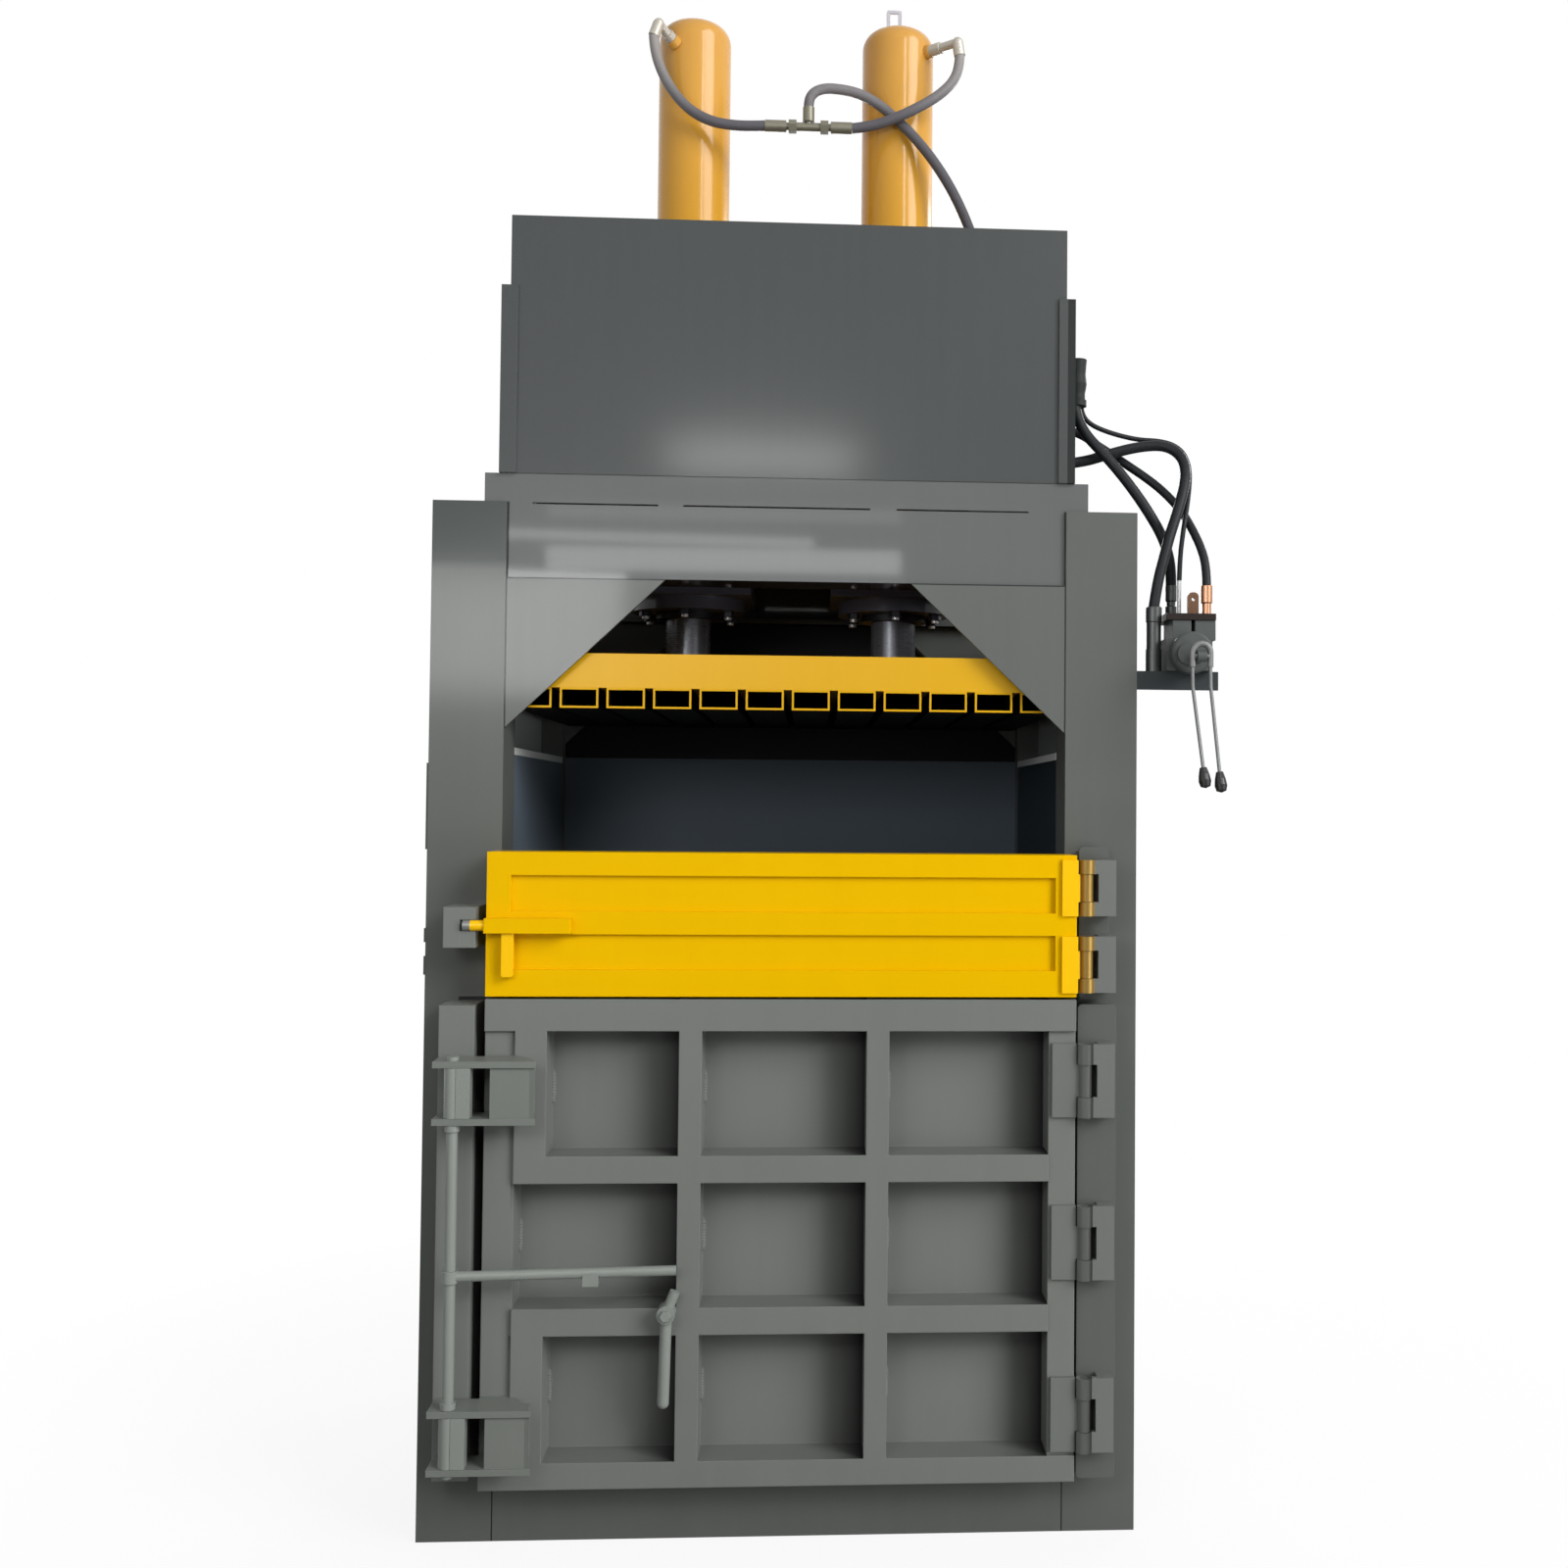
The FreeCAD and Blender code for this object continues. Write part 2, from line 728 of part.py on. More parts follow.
def make_crosshead():
    channels = []
    for hand, seams in ((-1, (("-502", "-258"), ("-209", "159"), ("212", "475"))), (1, ())):
        web = f"{hand} * (rear - post_wall)"
        inside = f"{hand} * (rear - post_wall - crosshead_plate)"
        lip = f"{hand} * (rear - post_wall - crosshead_flange)"
        low, high = "crosshead_bottom", "crosshead_top"
        section = [(web, low), (lip, low), (lip, f"{low} + crosshead_plate"),
                   (inside, f"{low} + crosshead_plate"), (inside, f"{high} - crosshead_plate"),
                   (lip, f"{high} - crosshead_plate"), (lip, high), (web, high)]
        channel = prism("YZ", [section], ("-crosshead_width / 2", "crosshead_width / 2"))
        slots = [block(seam, ("front", "front + post_wall + crosshead_plate + 1"),
                       ("post_height - crosshead_seam", "post_height")) for seam in seams]
        channels.append(cut(channel, *slots))
    keep("crosshead_channels", group(*channels))

    bars = []
    plates = []
    for side, hand in SIDES:
        centre = f"{hand} * cylinder_spacing / 2"
        for offset in ("-saddle_half", "saddle_half"):
            bars.append(block((f"{centre} + {offset} - saddle_bar / 2", f"{centre} + {offset} + saddle_bar / 2"),
                              ("front + post_wall + crosshead_plate", "rear - post_wall - crosshead_plate"),
                              ("saddle_bottom", "crosshead_top - crosshead_plate")))
        plate = block((f"{centre} - saddle_plate / 2", f"{centre} + saddle_plate / 2"),
                      ("cylinder_y - saddle_plate / 2", "cylinder_y + saddle_plate / 2"),
                      ("flange_top", "saddle_bottom"))
        bore = rod("z", (centre, "cylinder_y", "flange_top - 1"), "cylinder_radius + seam_gap",
                   "saddle_plate_thick + 2")
        holes = [rod("z", spot + ("flange_top - 1",), "bolt_radius + seam_gap", "saddle_plate_thick + 2")
                 for spot in bolt_spots(centre)]
        plates.append(cut(plate, bore, *holes))
    keep("crosshead_beams", group(*bars))
    keep("cylinder_plates", group(*plates))

    deck = block(("-inner", "inner"), ("cover_front + cover_return + seam_gap", "rear - post_wall"),
                 ("crosshead_top", "deck_top"))
    holes = [rod("z", (f"{hand} * cylinder_spacing / 2", "cylinder_y", "crosshead_top - 1"),
                 "cylinder_radius + seam_gap", "deck_thick + 2") for side, hand in SIDES]
    keep("crosshead_deck", cut(deck, *holes))


def bolt_spots(centre):
    """Six flange bolt places round a cylinder, one of them at the front."""
    return [(f"{centre} + bolt_circle * sin({60 * n})", f"cylinder_y - bolt_circle * cos({60 * n})")
            for n in range(6)]


def from_port(x, y, z):
    """The place of each oil port, given as shares of the barrel's radius and a drop from its top."""
    return (f"{x[0]} * cylinder_spacing / 2 + {x[1]} * cylinder_radius",
            f"cylinder_y + {y} * cylinder_radius", f"cylinder_top - {z}")


def beyond(spot, x, y, z):
    """A place at so many millimetres from another."""
    return (f"{spot[0]} + {x}", f"{spot[1]} + {y}", f"{spot[2]} + {z}")


LEFT_PORT = from_port((-1, "-40 / 79"), "-72 / 79", "left_port_drop")
RIGHT_PORT = from_port((1, "62 / 79"), "-49 / 79", "right_port_drop")
PORTS = {
    # each oil port, where its elbow turns down, and where the hose begins
    "left": (LEFT_PORT, beyond(LEFT_PORT, -31, -37, 22), beyond(LEFT_PORT, -41, -38, -6)),
    "right": (RIGHT_PORT, beyond(RIGHT_PORT, 64, -47, 2), beyond(RIGHT_PORT, 69, -47, -28)),
}


def make_cylinders():
    barrels = []
    for side, hand in SIDES:
        centre = f"{hand} * cylinder_spacing / 2"
        body = turned([("bore_radius", "flange_bottom"), ("flange_radius", "flange_bottom"),
                       ("flange_radius", "flange_top"), ("cylinder_radius", "flange_top"),
                       ("cylinder_radius", "cylinder_top"), ("0", "cylinder_top"),
                       ("0", "cap_bottom"), ("bore_radius", "cap_bottom")], (centre, "cylinder_y", "0"))
        top = number("cylinder_top")
        rounded(body, "cylinder_dome",
                lambda edge: edge.Curve.TypeId == "Part::GeomCircle" and abs(edge.CenterOfMass.z - top) < 0.01)
        holes = [rod("z", spot + ("flange_bottom - 1",), "bolt_radius + seam_gap", "flange_thick + 2")
                 for spot in bolt_spots(centre)]
        root, corner = (point(*spot) for spot in PORTS[side][:2])
        towards = corner - root
        inward = root - towards * (30 / towards.Length)
        outward = root + towards * (10 / towards.Length)
        boss = slanted_rod(tuple(root - towards * (6 / towards.Length)), tuple(outward), "15")
        drill = slanted_rod(tuple(inward), tuple(outward + towards * 0.1), "6")
        keep(f"cylinder_{side}", cut(fuse(body, boss), drill, *holes))
        barrels.append(centre)

    glands, rods, pistons, bolts = [], [], [], []
    for centre in barrels:
        base = (centre, "cylinder_y", "0")
        glands.append(turned([("rod_radius + running_gap", "flange_bottom - gland_flange"),
                              ("bore_radius + 9", "flange_bottom - gland_flange"),
                              ("bore_radius + 9", "flange_bottom"),
                              ("bore_radius - free_gap", "flange_bottom"),
                              ("bore_radius - free_gap", "flange_bottom + gland_length"),
                              ("rod_radius + running_gap", "flange_bottom + gland_length")], base))
        rods.append(turned([("0", "platen_floor"), ("rod_foot_radius", "platen_floor"),
                            ("rod_foot_radius", "platen_floor + rod_foot_thick"),
                            ("rod_radius", "platen_floor + rod_foot_thick"),
                            ("rod_radius", "piston_bottom"), ("0", "piston_bottom")], base))
        ring, deep, top = "bore_radius - free_gap", "bore_radius - 4", "piston_bottom + piston_length"
        pistons.append(turned([("0", "piston_bottom"), (ring, "piston_bottom"),
                               (ring, "piston_bottom + 16"), (deep, "piston_bottom + 16"),
                               (deep, "piston_bottom + 26"), (ring, "piston_bottom + 26"),
                               (ring, top), ("0", top)], base))
        for x, y in bolt_spots(centre):
            head = prism("XY", [hexagon("12", x, y)], ("flange_bottom - 12", "flange_bottom"))
            shank = rod("z", (x, y, "flange_bottom - 18"), "bolt_radius", "saddle_bottom - flange_bottom + 36")
            nut = prism("XY", [hexagon("12", x, y)], ("saddle_bottom", "saddle_bottom + 14"))
            bolts.append(fuse(head, shank, nut))
    keep("cylinder_glands", group(*glands))
    keep("piston_rods", group(*rods))
    keep("pistons", group(*pistons))
    keep("flange_bolts", group(*bolts))

    left, right, low = "cylinder_spacing / 2 - 26", "cylinder_spacing / 2 + 8", "cylinder_top"
    high = f"{low} + eye_height"
    eye = prism("XZ", [rectangle(left, right, low, high),
                       rectangle(f"{left} + 8", f"{right} - 8", f"{low} + 6", f"{high} - 6")],
                ("cylinder_y - 4", "cylinder_y + 4"))
    rounded(eye, "5", lambda edge: edge_along("y")(edge) and edge.CenterOfMass.z > number(high) - 1)
    keep("lifting_eye", eye)


# ---------------------------------------------------------------- platen

def make_platen():
    """A box plate with rod seats, over a row of square tubes that leave channels for strapping."""
    body = prism("XY", [rectangle("-platen_half", "platen_half", "platen_front", "platen_back")],
                 ("tube_top", "platen_top"))
    wall = "platen_plate"
    stops = ["-platen_half", "-platen_rib_far - platen_plate / 2", "-platen_rib_near - platen_plate / 2",
             "platen_rib_near - platen_plate / 2", "platen_rib_far - platen_plate / 2",
             "platen_half - platen_plate"]
    bays = [rectangle(f"{low} + {wall}", high, f"platen_front + {wall}", f"platen_back - {wall}")
            for low, high in zip(stops, stops[1:])]
    keep("platen", pocket(body, "XY", bays, ("platen_floor", "platen_top")))

    tubes = []
    for n in range(12):
        centre = f"{n - 5.5} * tube_pitch"
        left, right = f"{centre} - tube_width / 2", f"{centre} + tube_width / 2"
        tubes.append(prism("XZ", [
            rectangle(left, right, "platen_bottom", "tube_top"),
            rectangle(f"{left} + tube_wall", f"{right} - tube_wall",
                      "platen_bottom + tube_wall", "tube_top - tube_wall")], ("platen_front", "platen_back")))
    keep("platen_tubes", group(*tubes))


# ---------------------------------------------------------------- doors

def make_feed_door():
    body = prism("XZ", [rectangle("-door_half", "door_half", "feed_bottom", "feed_top")],
                 ("door_front", "door_back"))
    left, right = "-door_half + feed_stile_left", "door_half - feed_stile_right"
    low = "feed_bottom + feed_rail_bottom"
    middle = f"{low} + feed_recess_low"
    pocket(body, "XZ", [rectangle(left, right, low, middle),
                        rectangle(left, right, f"{middle} + feed_rail_middle", "feed_top - feed_rail_top")],
           ("door_front", "skin_front"))
    keep("feed_door", body)


def make_main_door():
    """A skin behind a grid of bars: full-width rails, two bands, two ribs and a short rib at the latch edge."""
    body = prism("XZ", [rectangle("-door_half", "door_half", "main_bottom", "main_top")],
                 ("door_front", "door_back"))
    low, high = "main_bottom + main_rail_bottom", "main_top - main_rail_top"
    left, right = "-door_half + stile_left", "door_half - stile_right"
    pocket(body, "XZ", [rectangle("-door_half", left, low, high), rectangle(right, "door_half", low, high)],
           ("door_front", "stile_front"))
    rows = [(low, "band_low - door_band / 2"), ("band_low + door_band / 2", "band_high - door_band / 2"),
            ("band_high + door_band / 2", high)]
    cells = []
    for n, (bottom, top) in enumerate(rows):
        start = left if n == 1 else f"{left} + edge_rib"
        stops = [start, "door_rib_left - door_rib / 2", "door_rib_left + door_rib / 2",
                 "door_rib_right - door_rib / 2", "door_rib_right + door_rib / 2", right]
        cells += [rectangle(a, b, bottom, top) for a, b in zip(stops[::2], stops[1::2])]
    pocket(body, "XZ", cells, ("door_front", "skin_front"))
    pivot = rod("y", ("-catch_x", "door_front - 1", "catch_z"), "catch_pin + running_gap", "catch_pin_length + 2")
    keep("main_door", cut(body, pivot))


# ---------------------------------------------------------------- hinges

def make_hinge(x, y, z, height, end, pad_front, arm, leaf):
    """A barrel hinge: the frame half has the end knuckles, the door half the middle one."""
    drill = rod("z", (x, y, f"{z} - 1"), "pin_radius + running_gap", f"{height} + 2")
    plate = block((x, f"{x} + leaf_reach"), (f"{y} - leaf_thick / 2", f"{y} + leaf_thick / 2"),
                  (z, f"{z} + {height}"))
    foot = block((f"{x} + leaf_reach - leaf_foot", f"{x} + leaf_reach"),
                 (f"{y} + leaf_thick / 2", pad_front), (z, f"{z} + {height}"))
    window = block((f"{x} - leaf_notch", f"{x} + leaf_notch"), (f"{y} - leaf_notch", f"{y} + leaf_notch"),
                   (f"{z} + {end}", f"{z} + {height} - {end}"))
    low = rod("z", (x, y, z), "knuckle_radius", end)
    high = rod("z", (x, y, f"{z} + {height} - {end}"), "knuckle_radius", end)
    frame_half = cut(fuse(cut(fuse(plate, foot), window), low, high), drill)

    middle = (f"{z} + {end} + seam_gap", f"{z} + {height} - {end} - seam_gap")
    knuckle = rod("z", (x, y, middle[0]), "knuckle_middle", f"({middle[1]}) - ({middle[0]})")
    arms = [block(across, deep, middle) for across, deep in arm]
    door_half = cut(fuse(knuckle, block(leaf[0], leaf[1], (z, f"{z} + {height}")), *arms), drill)
    pin = rod("z", (x, y, z), "pin_radius", height)
    return frame_half, door_half, pin


def make_hinges():
    frame_halves, main_halves, feed_halves, pins = [], [], [], []
    for z in ("main_hinge_low", "main_hinge_middle", "main_hinge_high"):
        inner_edge = "door_half - stile_right + 6"
        edge = "main_axis - knuckle_radius - 2"
        frame_half, door_half, pin = make_hinge(
            "main_axis", "main_axis_y", z, "main_hinge_height", "main_knuckle_end", "main_pad_front",
            [((edge + " - 1", "main_axis"), ("main_axis_y", "stile_front"))],
            ((inner_edge, edge), ("door_front", "stile_front")))
        frame_halves.append(frame_half)
        main_halves.append(door_half)
        pins.append(pin)
    for z in ("feed_hinge_low", "feed_hinge_high"):
        edge = "feed_axis - knuckle_radius - 4"
        proud = ("door_front - feed_leaf_thick", "door_front")
        frame_half, door_half, pin = make_hinge(
            "feed_axis", "feed_axis_y", z, "feed_hinge_height", "feed_knuckle_end", "feed_pad_front",
            [(("door_half + seam_gap", edge + " + 3"), (proud[0], "feed_axis_y + 5")),
             ((edge + " + 2", "feed_axis - 3"), ("feed_axis_y - 4", "feed_axis_y + 5"))],
            (("door_half - feed_leaf_width + 2", edge), proud))
        frame_halves.append(frame_half)
        feed_halves.append(door_half)
        pins.append(pin)
    keep("hinge_frame_leaves", group(*frame_halves))
    keep("main_hinge_door_leaves", group(*main_halves))
    keep("feed_hinge_door_leaves", group(*feed_halves))
    keep("hinge_pins", group(*pins))

    pads = []
    for kind in ("main", "feed"):
        left, right = f"{kind}_pad_left", f"{kind}_pad_left + {kind}_pad_width"
        span = (f"{kind}_pad_bottom", f"{kind}_pad_top")
        face = prism("XZ", [rectangle(left, right, *span)],
                     (f"{kind}_pad_front", f"{kind}_pad_front + pad_plate"))
        rounded(face, "pad_corner", edge_along("y"))
        legs = [block(across, (f"{kind}_pad_front + pad_plate", "front"),
                      (f"{kind}_pad_bottom + pad_corner", f"{kind}_pad_top - pad_corner"))
                for across in ((left, f"{left} + pad_plate"), (f"{right} - pad_plate", right))]
        pads.append(fuse(face, *legs))
    keep("hinge_pads", group(*pads))


# ---------------------------------------------------------------- main door latch

def box_tube(x, y, z):
    """An upright length of the latch column's square tube."""
    (left, right), (near, far) = x, y
    return prism("XY", [rectangle(left, right, near, far),
                        rectangle(f"{left} + column_wall", f"{right} - column_wall",
                                  f"{near} + column_wall", f"{far} - column_wall")], z)


def shaft_ring(radius, z, height):
    """A ring welded round the latch shaft."""
    axis = ("-shaft_x", "shaft_y", z)
    return cut(rod("z", axis, radius, height), rod("z", axis, "shaft_radius", height))


def make_latch():
    """A column beside the door; the yokes' cams reach into its notches, which are open to the front and right."""
    left, right = "-column_left", "-column_right"
    stops = ["column_bottom"]
    for z in ("yoke_low", "yoke_high"):
        stops += [f"{z} + yoke_thick", f"{z} + yoke_height - yoke_thick"]
    stops.append("column_top")
    column = []
    for n, span in enumerate(zip(stops, stops[1:])):
        face = "door_front + notch_depth" if n % 2 else "door_front"
        if n % 2:
            column.append(block((left, "-notch_left"), ("door_front", face), span))
        column.append(box_tube((left, right), (face, "front"), span))
    cap = block((f"{left} + column_wall", f"{right} - column_wall"),
                ("door_front + column_wall", "front - column_wall"), ("column_top - column_wall", "column_top"))
    hole = rod("z", ("-(column_left + column_right) / 2", "(door_front + front) / 2",
                     "column_top - column_wall - 1"), "cap_hole", "column_wall + 2")
    column[-1] = fuse(column[-1], cut(cap, hole))
    keep("latch_column", group(*column))

    yokes, cams = [], []
    for z in ("yoke_low", "yoke_high"):
        outline = [("-yoke_left", "yoke_front"), ("-yoke_right", "yoke_front"),
                   ("-yoke_right_back", "door_front"), ("-door_half + stile_left", "door_front"),
                   ("-door_half + stile_left", "stile_front"), ("-door_half + 1", "stile_front"),
                   ("-door_half + 1", "door_front - yoke_column_gap"),
                   ("-yoke_left", "door_front - yoke_column_gap")]
        top = f"{z} + yoke_height"
        plates = [prism("XY", [outline], span) for span in ((z, f"{z} + yoke_thick"),
                                                            (f"{top} - yoke_thick", top))]
        inside = (f"{z} + yoke_thick", f"{top} - yoke_thick")
        box = block(("-lug_box_left", "-lug_box_right"), ("front - lug_box_set", "door_front"), inside)
        root = block(("-lug_box_left", "-door_half + stile_left"), ("door_front", "stile_front"), inside)
        cheek = prism("XY", [[("-lug_box_right", "front - lug_box_set"), ("-yoke_right - 2", "yoke_front + 2"),
                              ("-yoke_right_back - 2", "door_front"), ("-lug_box_right", "door_front")][:2]
                             + [("-yoke_right_back", "door_front"), ("-yoke_right_back - 12", "door_front")]],
                      inside)
        drill = rod("z", ("-shaft_x", "shaft_y", f"{z} - 1"), "shaft_radius + running_gap", "yoke_height + 2")
        yokes.append(cut(fuse(*plates, box, root, cheek), drill))

        span = (f"{z} + yoke_thick + cam_gap", f"{top} - yoke_thick - cam_gap")
        length = f"({span[1]}) - ({span[0]})"
        hub = rod("z", ("-shaft_x", "shaft_y", span[0]), "cam_hub", length)
        bar = block(("-shaft_x + cam_bar_near", "-shaft_x + cam_bar_far"), ("yoke_front", "shaft_y + 10"), span)
        tongue = block(("-shaft_x - cam_tongue / 2", "-shaft_x + cam_tongue / 2"),
                       ("shaft_y", "shaft_y + cam_reach"), span)
        cams += [shaft_ring("cam_hub", span[0], length), cut(bar, hub), cut(tongue, hub)]
    keep("latch_yokes", group(*yokes))

    bottom, top = "yoke_low - shaft_over", "yoke_high + yoke_height + shaft_over"
    shaft = rod("z", ("-shaft_x", "shaft_y", bottom), "shaft_radius", f"({top}) - ({bottom})")
    collars = [shaft_ring("collar_radius", z, "collar_height")
               for z in ("yoke_low + yoke_height + cam_gap", "yoke_high - cam_gap - collar_height")]
    keep("latch_shaft", group(shaft, *collars, *cams))

    hub = rod("z", ("-shaft_x", "shaft_y", "lever_z - lever_hub_height / 2"), "lever_hub_radius",
              "lever_hub_height")
    bar = slanted_rod(("-shaft_x", "shaft_y", "lever_z"), ("-lever_end_x", "front - lever_end_set", "lever_z"),
                      "lever_radius")
    stop = block(("-stop_x - stop_width / 2", "-stop_x + stop_width / 2"),
                 ("front - lever_end_set - 22", "front - lever_end_set - 2"),
                 ("lever_z - stop_height + 2", "lever_z + 2"))
    drill = rod("z", ("-shaft_x", "shaft_y", "lever_z - lever_hub_height"), "shaft_radius + running_gap",
                "2 * lever_hub_height")
    keep("latch_lever", cut(fuse(hub, bar, stop), drill))


def make_catch():
    """A hanging handle that turns on its own pin in the door's lower band."""
    x, z, face = "-catch_x", "catch_z", "front - catch_set"
    hub = rod("y", (x, face, z), "catch_radius", f"door_front - seam_gap - ({face})")
    pin = rod("y", (x, f"door_front - seam_gap", z), "catch_pin", "catch_pin_length")
    head = prism("XZ", [hexagon("9", x, z)], (f"{face} - 8", face))
    middle = "(door_front + front - catch_set) / 2"
    arm = slanted_rod((x, middle, z), (f"{x} - 4", middle, f"{z} - catch_length + catch_rod"), "catch_rod")
    end = ball((f"{x} - 4", middle, f"{z} - catch_length + catch_rod"), "catch_rod")
    stub = slanted_rod((x, middle, z), (f"{x} + 0.37 * catch_stub", middle, f"{z} + 0.93 * catch_stub"),
                       "catch_rod - 1")
    keep("catch_handle", fuse(hub, pin, head, arm, end, stub))


# ---------------------------------------------------------------- feed door bolt

def make_bolt():
    y_low, y_high = "bolt_y - bolt_case / 2", "door_front"
    case = block(("-door_half", "-bolt_case_right"), (y_low, y_high),
                 ("bolt_z - bolt_case_height / 2", "bolt_z + bolt_case_height / 2"))
    reach = "bolt_tip_x - bolt_end_x + bolt_travel + 6"
    drill = rod("x", ("-bolt_tip_x", "bolt_y", "bolt_z"), "bolt_rod + running_gap", reach)
    slot = block(("-bolt_handle_left - 2", "-bolt_handle_left + bolt_handle_width + bolt_travel + 2"),
                 ("bolt_y - bolt_handle_thick / 2 - seam_gap", "bolt_y + bolt_handle_thick / 2 + seam_gap"),
                 ("bolt_z - bolt_case_height / 2 - 1", "bolt_z"))
    keep("bolt_housing", cut(case, drill, slot))

    bar = rod("x", ("-bolt_tip_x", "bolt_y", "bolt_z"), "bolt_rod", "bolt_tip_x - bolt_end_x")
    handle = prism("XZ", [rectangle("-bolt_handle_left", "-bolt_handle_left + bolt_handle_width",
                                    "bolt_handle_bottom", "bolt_z - bolt_rod / 3")],
                   ("bolt_y - bolt_handle_thick / 2", "bolt_y + bolt_handle_thick / 2"))
    rounded(handle, "bolt_handle_thick / 2 - 1",
            lambda edge: edge_along("y")(edge) and edge.CenterOfMass.z < number("bolt_handle_bottom") + 1)
    keep("feed_bolt", fuse(bar, handle))

    left, step, right = "-keeper_left", "-bolt_tip_x - 6", "-keeper_left + keeper_width"
    low, high, gap = "keeper_bottom", "keeper_bottom + keeper_height", "(bolt_rod + keeper_gap)"
    jaws = [block((left, step), ("bolt_y", "front"), (low, high)),
            block((step, right), ("bolt_y", "front"), (low, f"bolt_z - {gap}")),
            block((step, right), ("bolt_y", "front"), (f"bolt_z + {gap}", high)),
            block((step, right), (f"bolt_y + {gap}", "front"), (f"bolt_z - {gap}", f"bolt_z + {gap}"))]
    keep("keeper_block", group(*jaws))


# ---------------------------------------------------------------- cover and power unit

GROMMETS = (("front + 112", "crosshead_top + 64", "hose_radius + 4"),
            ("front + 142", "crosshead_top + 140", "return_radius + 4"))


def make_cover():
    half, face, back = "cover_half", "cover_front", "cover_front + cover_return"
    inner_half, inner_face = "cover_half - cover_sheet", "cover_front + cover_sheet"
    sheet_outline = [("-" + half, face), (half, face), (half, back), (inner_half, back),
                     (inner_half, inner_face), (f"-({inner_half})", inner_face), (f"-({inner_half})", back),
                     ("-" + half, back)]
    keep("cover_front", prism("XY", [sheet_outline], ("crosshead_top", "cover_top")))
    sides = []
    for side, hand in SIDES:
        out, within = f"{hand} * cover_side_out", f"{hand} * (cover_side_out - cover_side_thick)"
        lip = f"{hand} * (cover_side_out - cover_lip)"
        front_back = ("front", "front + cover_side_depth")
        outline = [(out, front_back[0]), (out, front_back[1]), (within, front_back[1]),
                   (within, "front + cover_set"), (lip, "front + cover_set"), (lip, front_back[0])]
        plate = prism("XY", [outline], ("crosshead_top", "cover_side_top"))
        if side == "right":
            plate = cut(plate, *[rod("x", (f"cover_side_out - 2 * cover_side_thick", y, z), f"{r} - 2 + seam_gap",
                                     "3 * cover_side_thick") for y, z, r in GROMMETS])
        sides.append(plate)
    keep("cover_sides", group(*sides))


def make_power_unit():
    """Oil tank behind the left cylinder; motor, gear pump and manifold behind the right one."""
    left, right = "-tank_left", "-(cylinder_spacing / 2 + cylinder_radius + tank_clear)"
    low, high = "deck_top", "deck_top + tank_height"
    front_y, back_y = "cylinder_y - 150", "cylinder_y - 150 + tank_depth"
    shell = block((left, right), (front_y, back_y), (low, high))
    inside = block((f"{left} + tank_wall", f"{right} - tank_wall"),
                   (f"{front_y} + tank_wall", f"{back_y} - tank_wall"), (f"{low} + tank_wall", f"{high} - tank_wall"))
    mouth = f"({left} + {right}) / 2"
    filler = turned([("0", "0"), ("22", "0"), ("22", "18"), ("30", "18"), ("30", "46"), ("0", "46")],
                    (mouth, f"{back_y} - 90", high))
    keep("oil_tank", fuse(cut(shell, inside), filler))

    axis_z = "deck_top + motor_height"
    length, r = "motor_length", "motor_radius"
    front_face = "cylinder_y + 60"
    motor = turned([("0", "0"), (f"{r} * 0.8", "0"), (f"{r} * 0.8", "14"), (r, "14"), (r, f"{length} - 50"),
                    (f"{r} + 4", f"{length} - 50"), (f"{r} + 4", f"{length} - 6"),
                    (f"{r} * 0.8", length), ("0", length)], ("motor_x", front_face, axis_z), "y")
    feet = [block((f"motor_x - 80", f"motor_x + 80"), (f"{front_face} + {a}", f"{front_face} + {b}"),
                  ("deck_top", f"{axis_z} - motor_radius * 0.7")) for a, b in ((40, 70), (150, 180))]
    pump = turned([("0", "0"), ("pump_radius", "0"), ("pump_radius", "pump_length - 14"),
                   ("pump_radius + 15", "pump_length - 14"), ("pump_radius + 15", "pump_length"),
                   ("0", "pump_length")], ("motor_x", f"{front_face} - pump_length", axis_z), "y")
    block_y = (f"{front_face} - pump_length - manifold_width", f"{front_face} - pump_length")
    body = block(("motor_x - 10 - manifold_width / 2", "motor_x - 10 + manifold_width / 2"), block_y,
                 ("deck_top", "deck_top + manifold_height + 60"))
    union = rod("z", SUPPLY_END[:2] + ("deck_top + manifold_height + 60",), "ferrule_radius + 1", "union_length")
    keep("pump_unit", group(fuse(motor, *feet), pump, fuse(body, union)))


SUPPLY_END = ("motor_x - 10", "cylinder_y - 96", "deck_top + manifold_height + 60 + union_length")


# ---------------------------------------------------------------- hose fittings

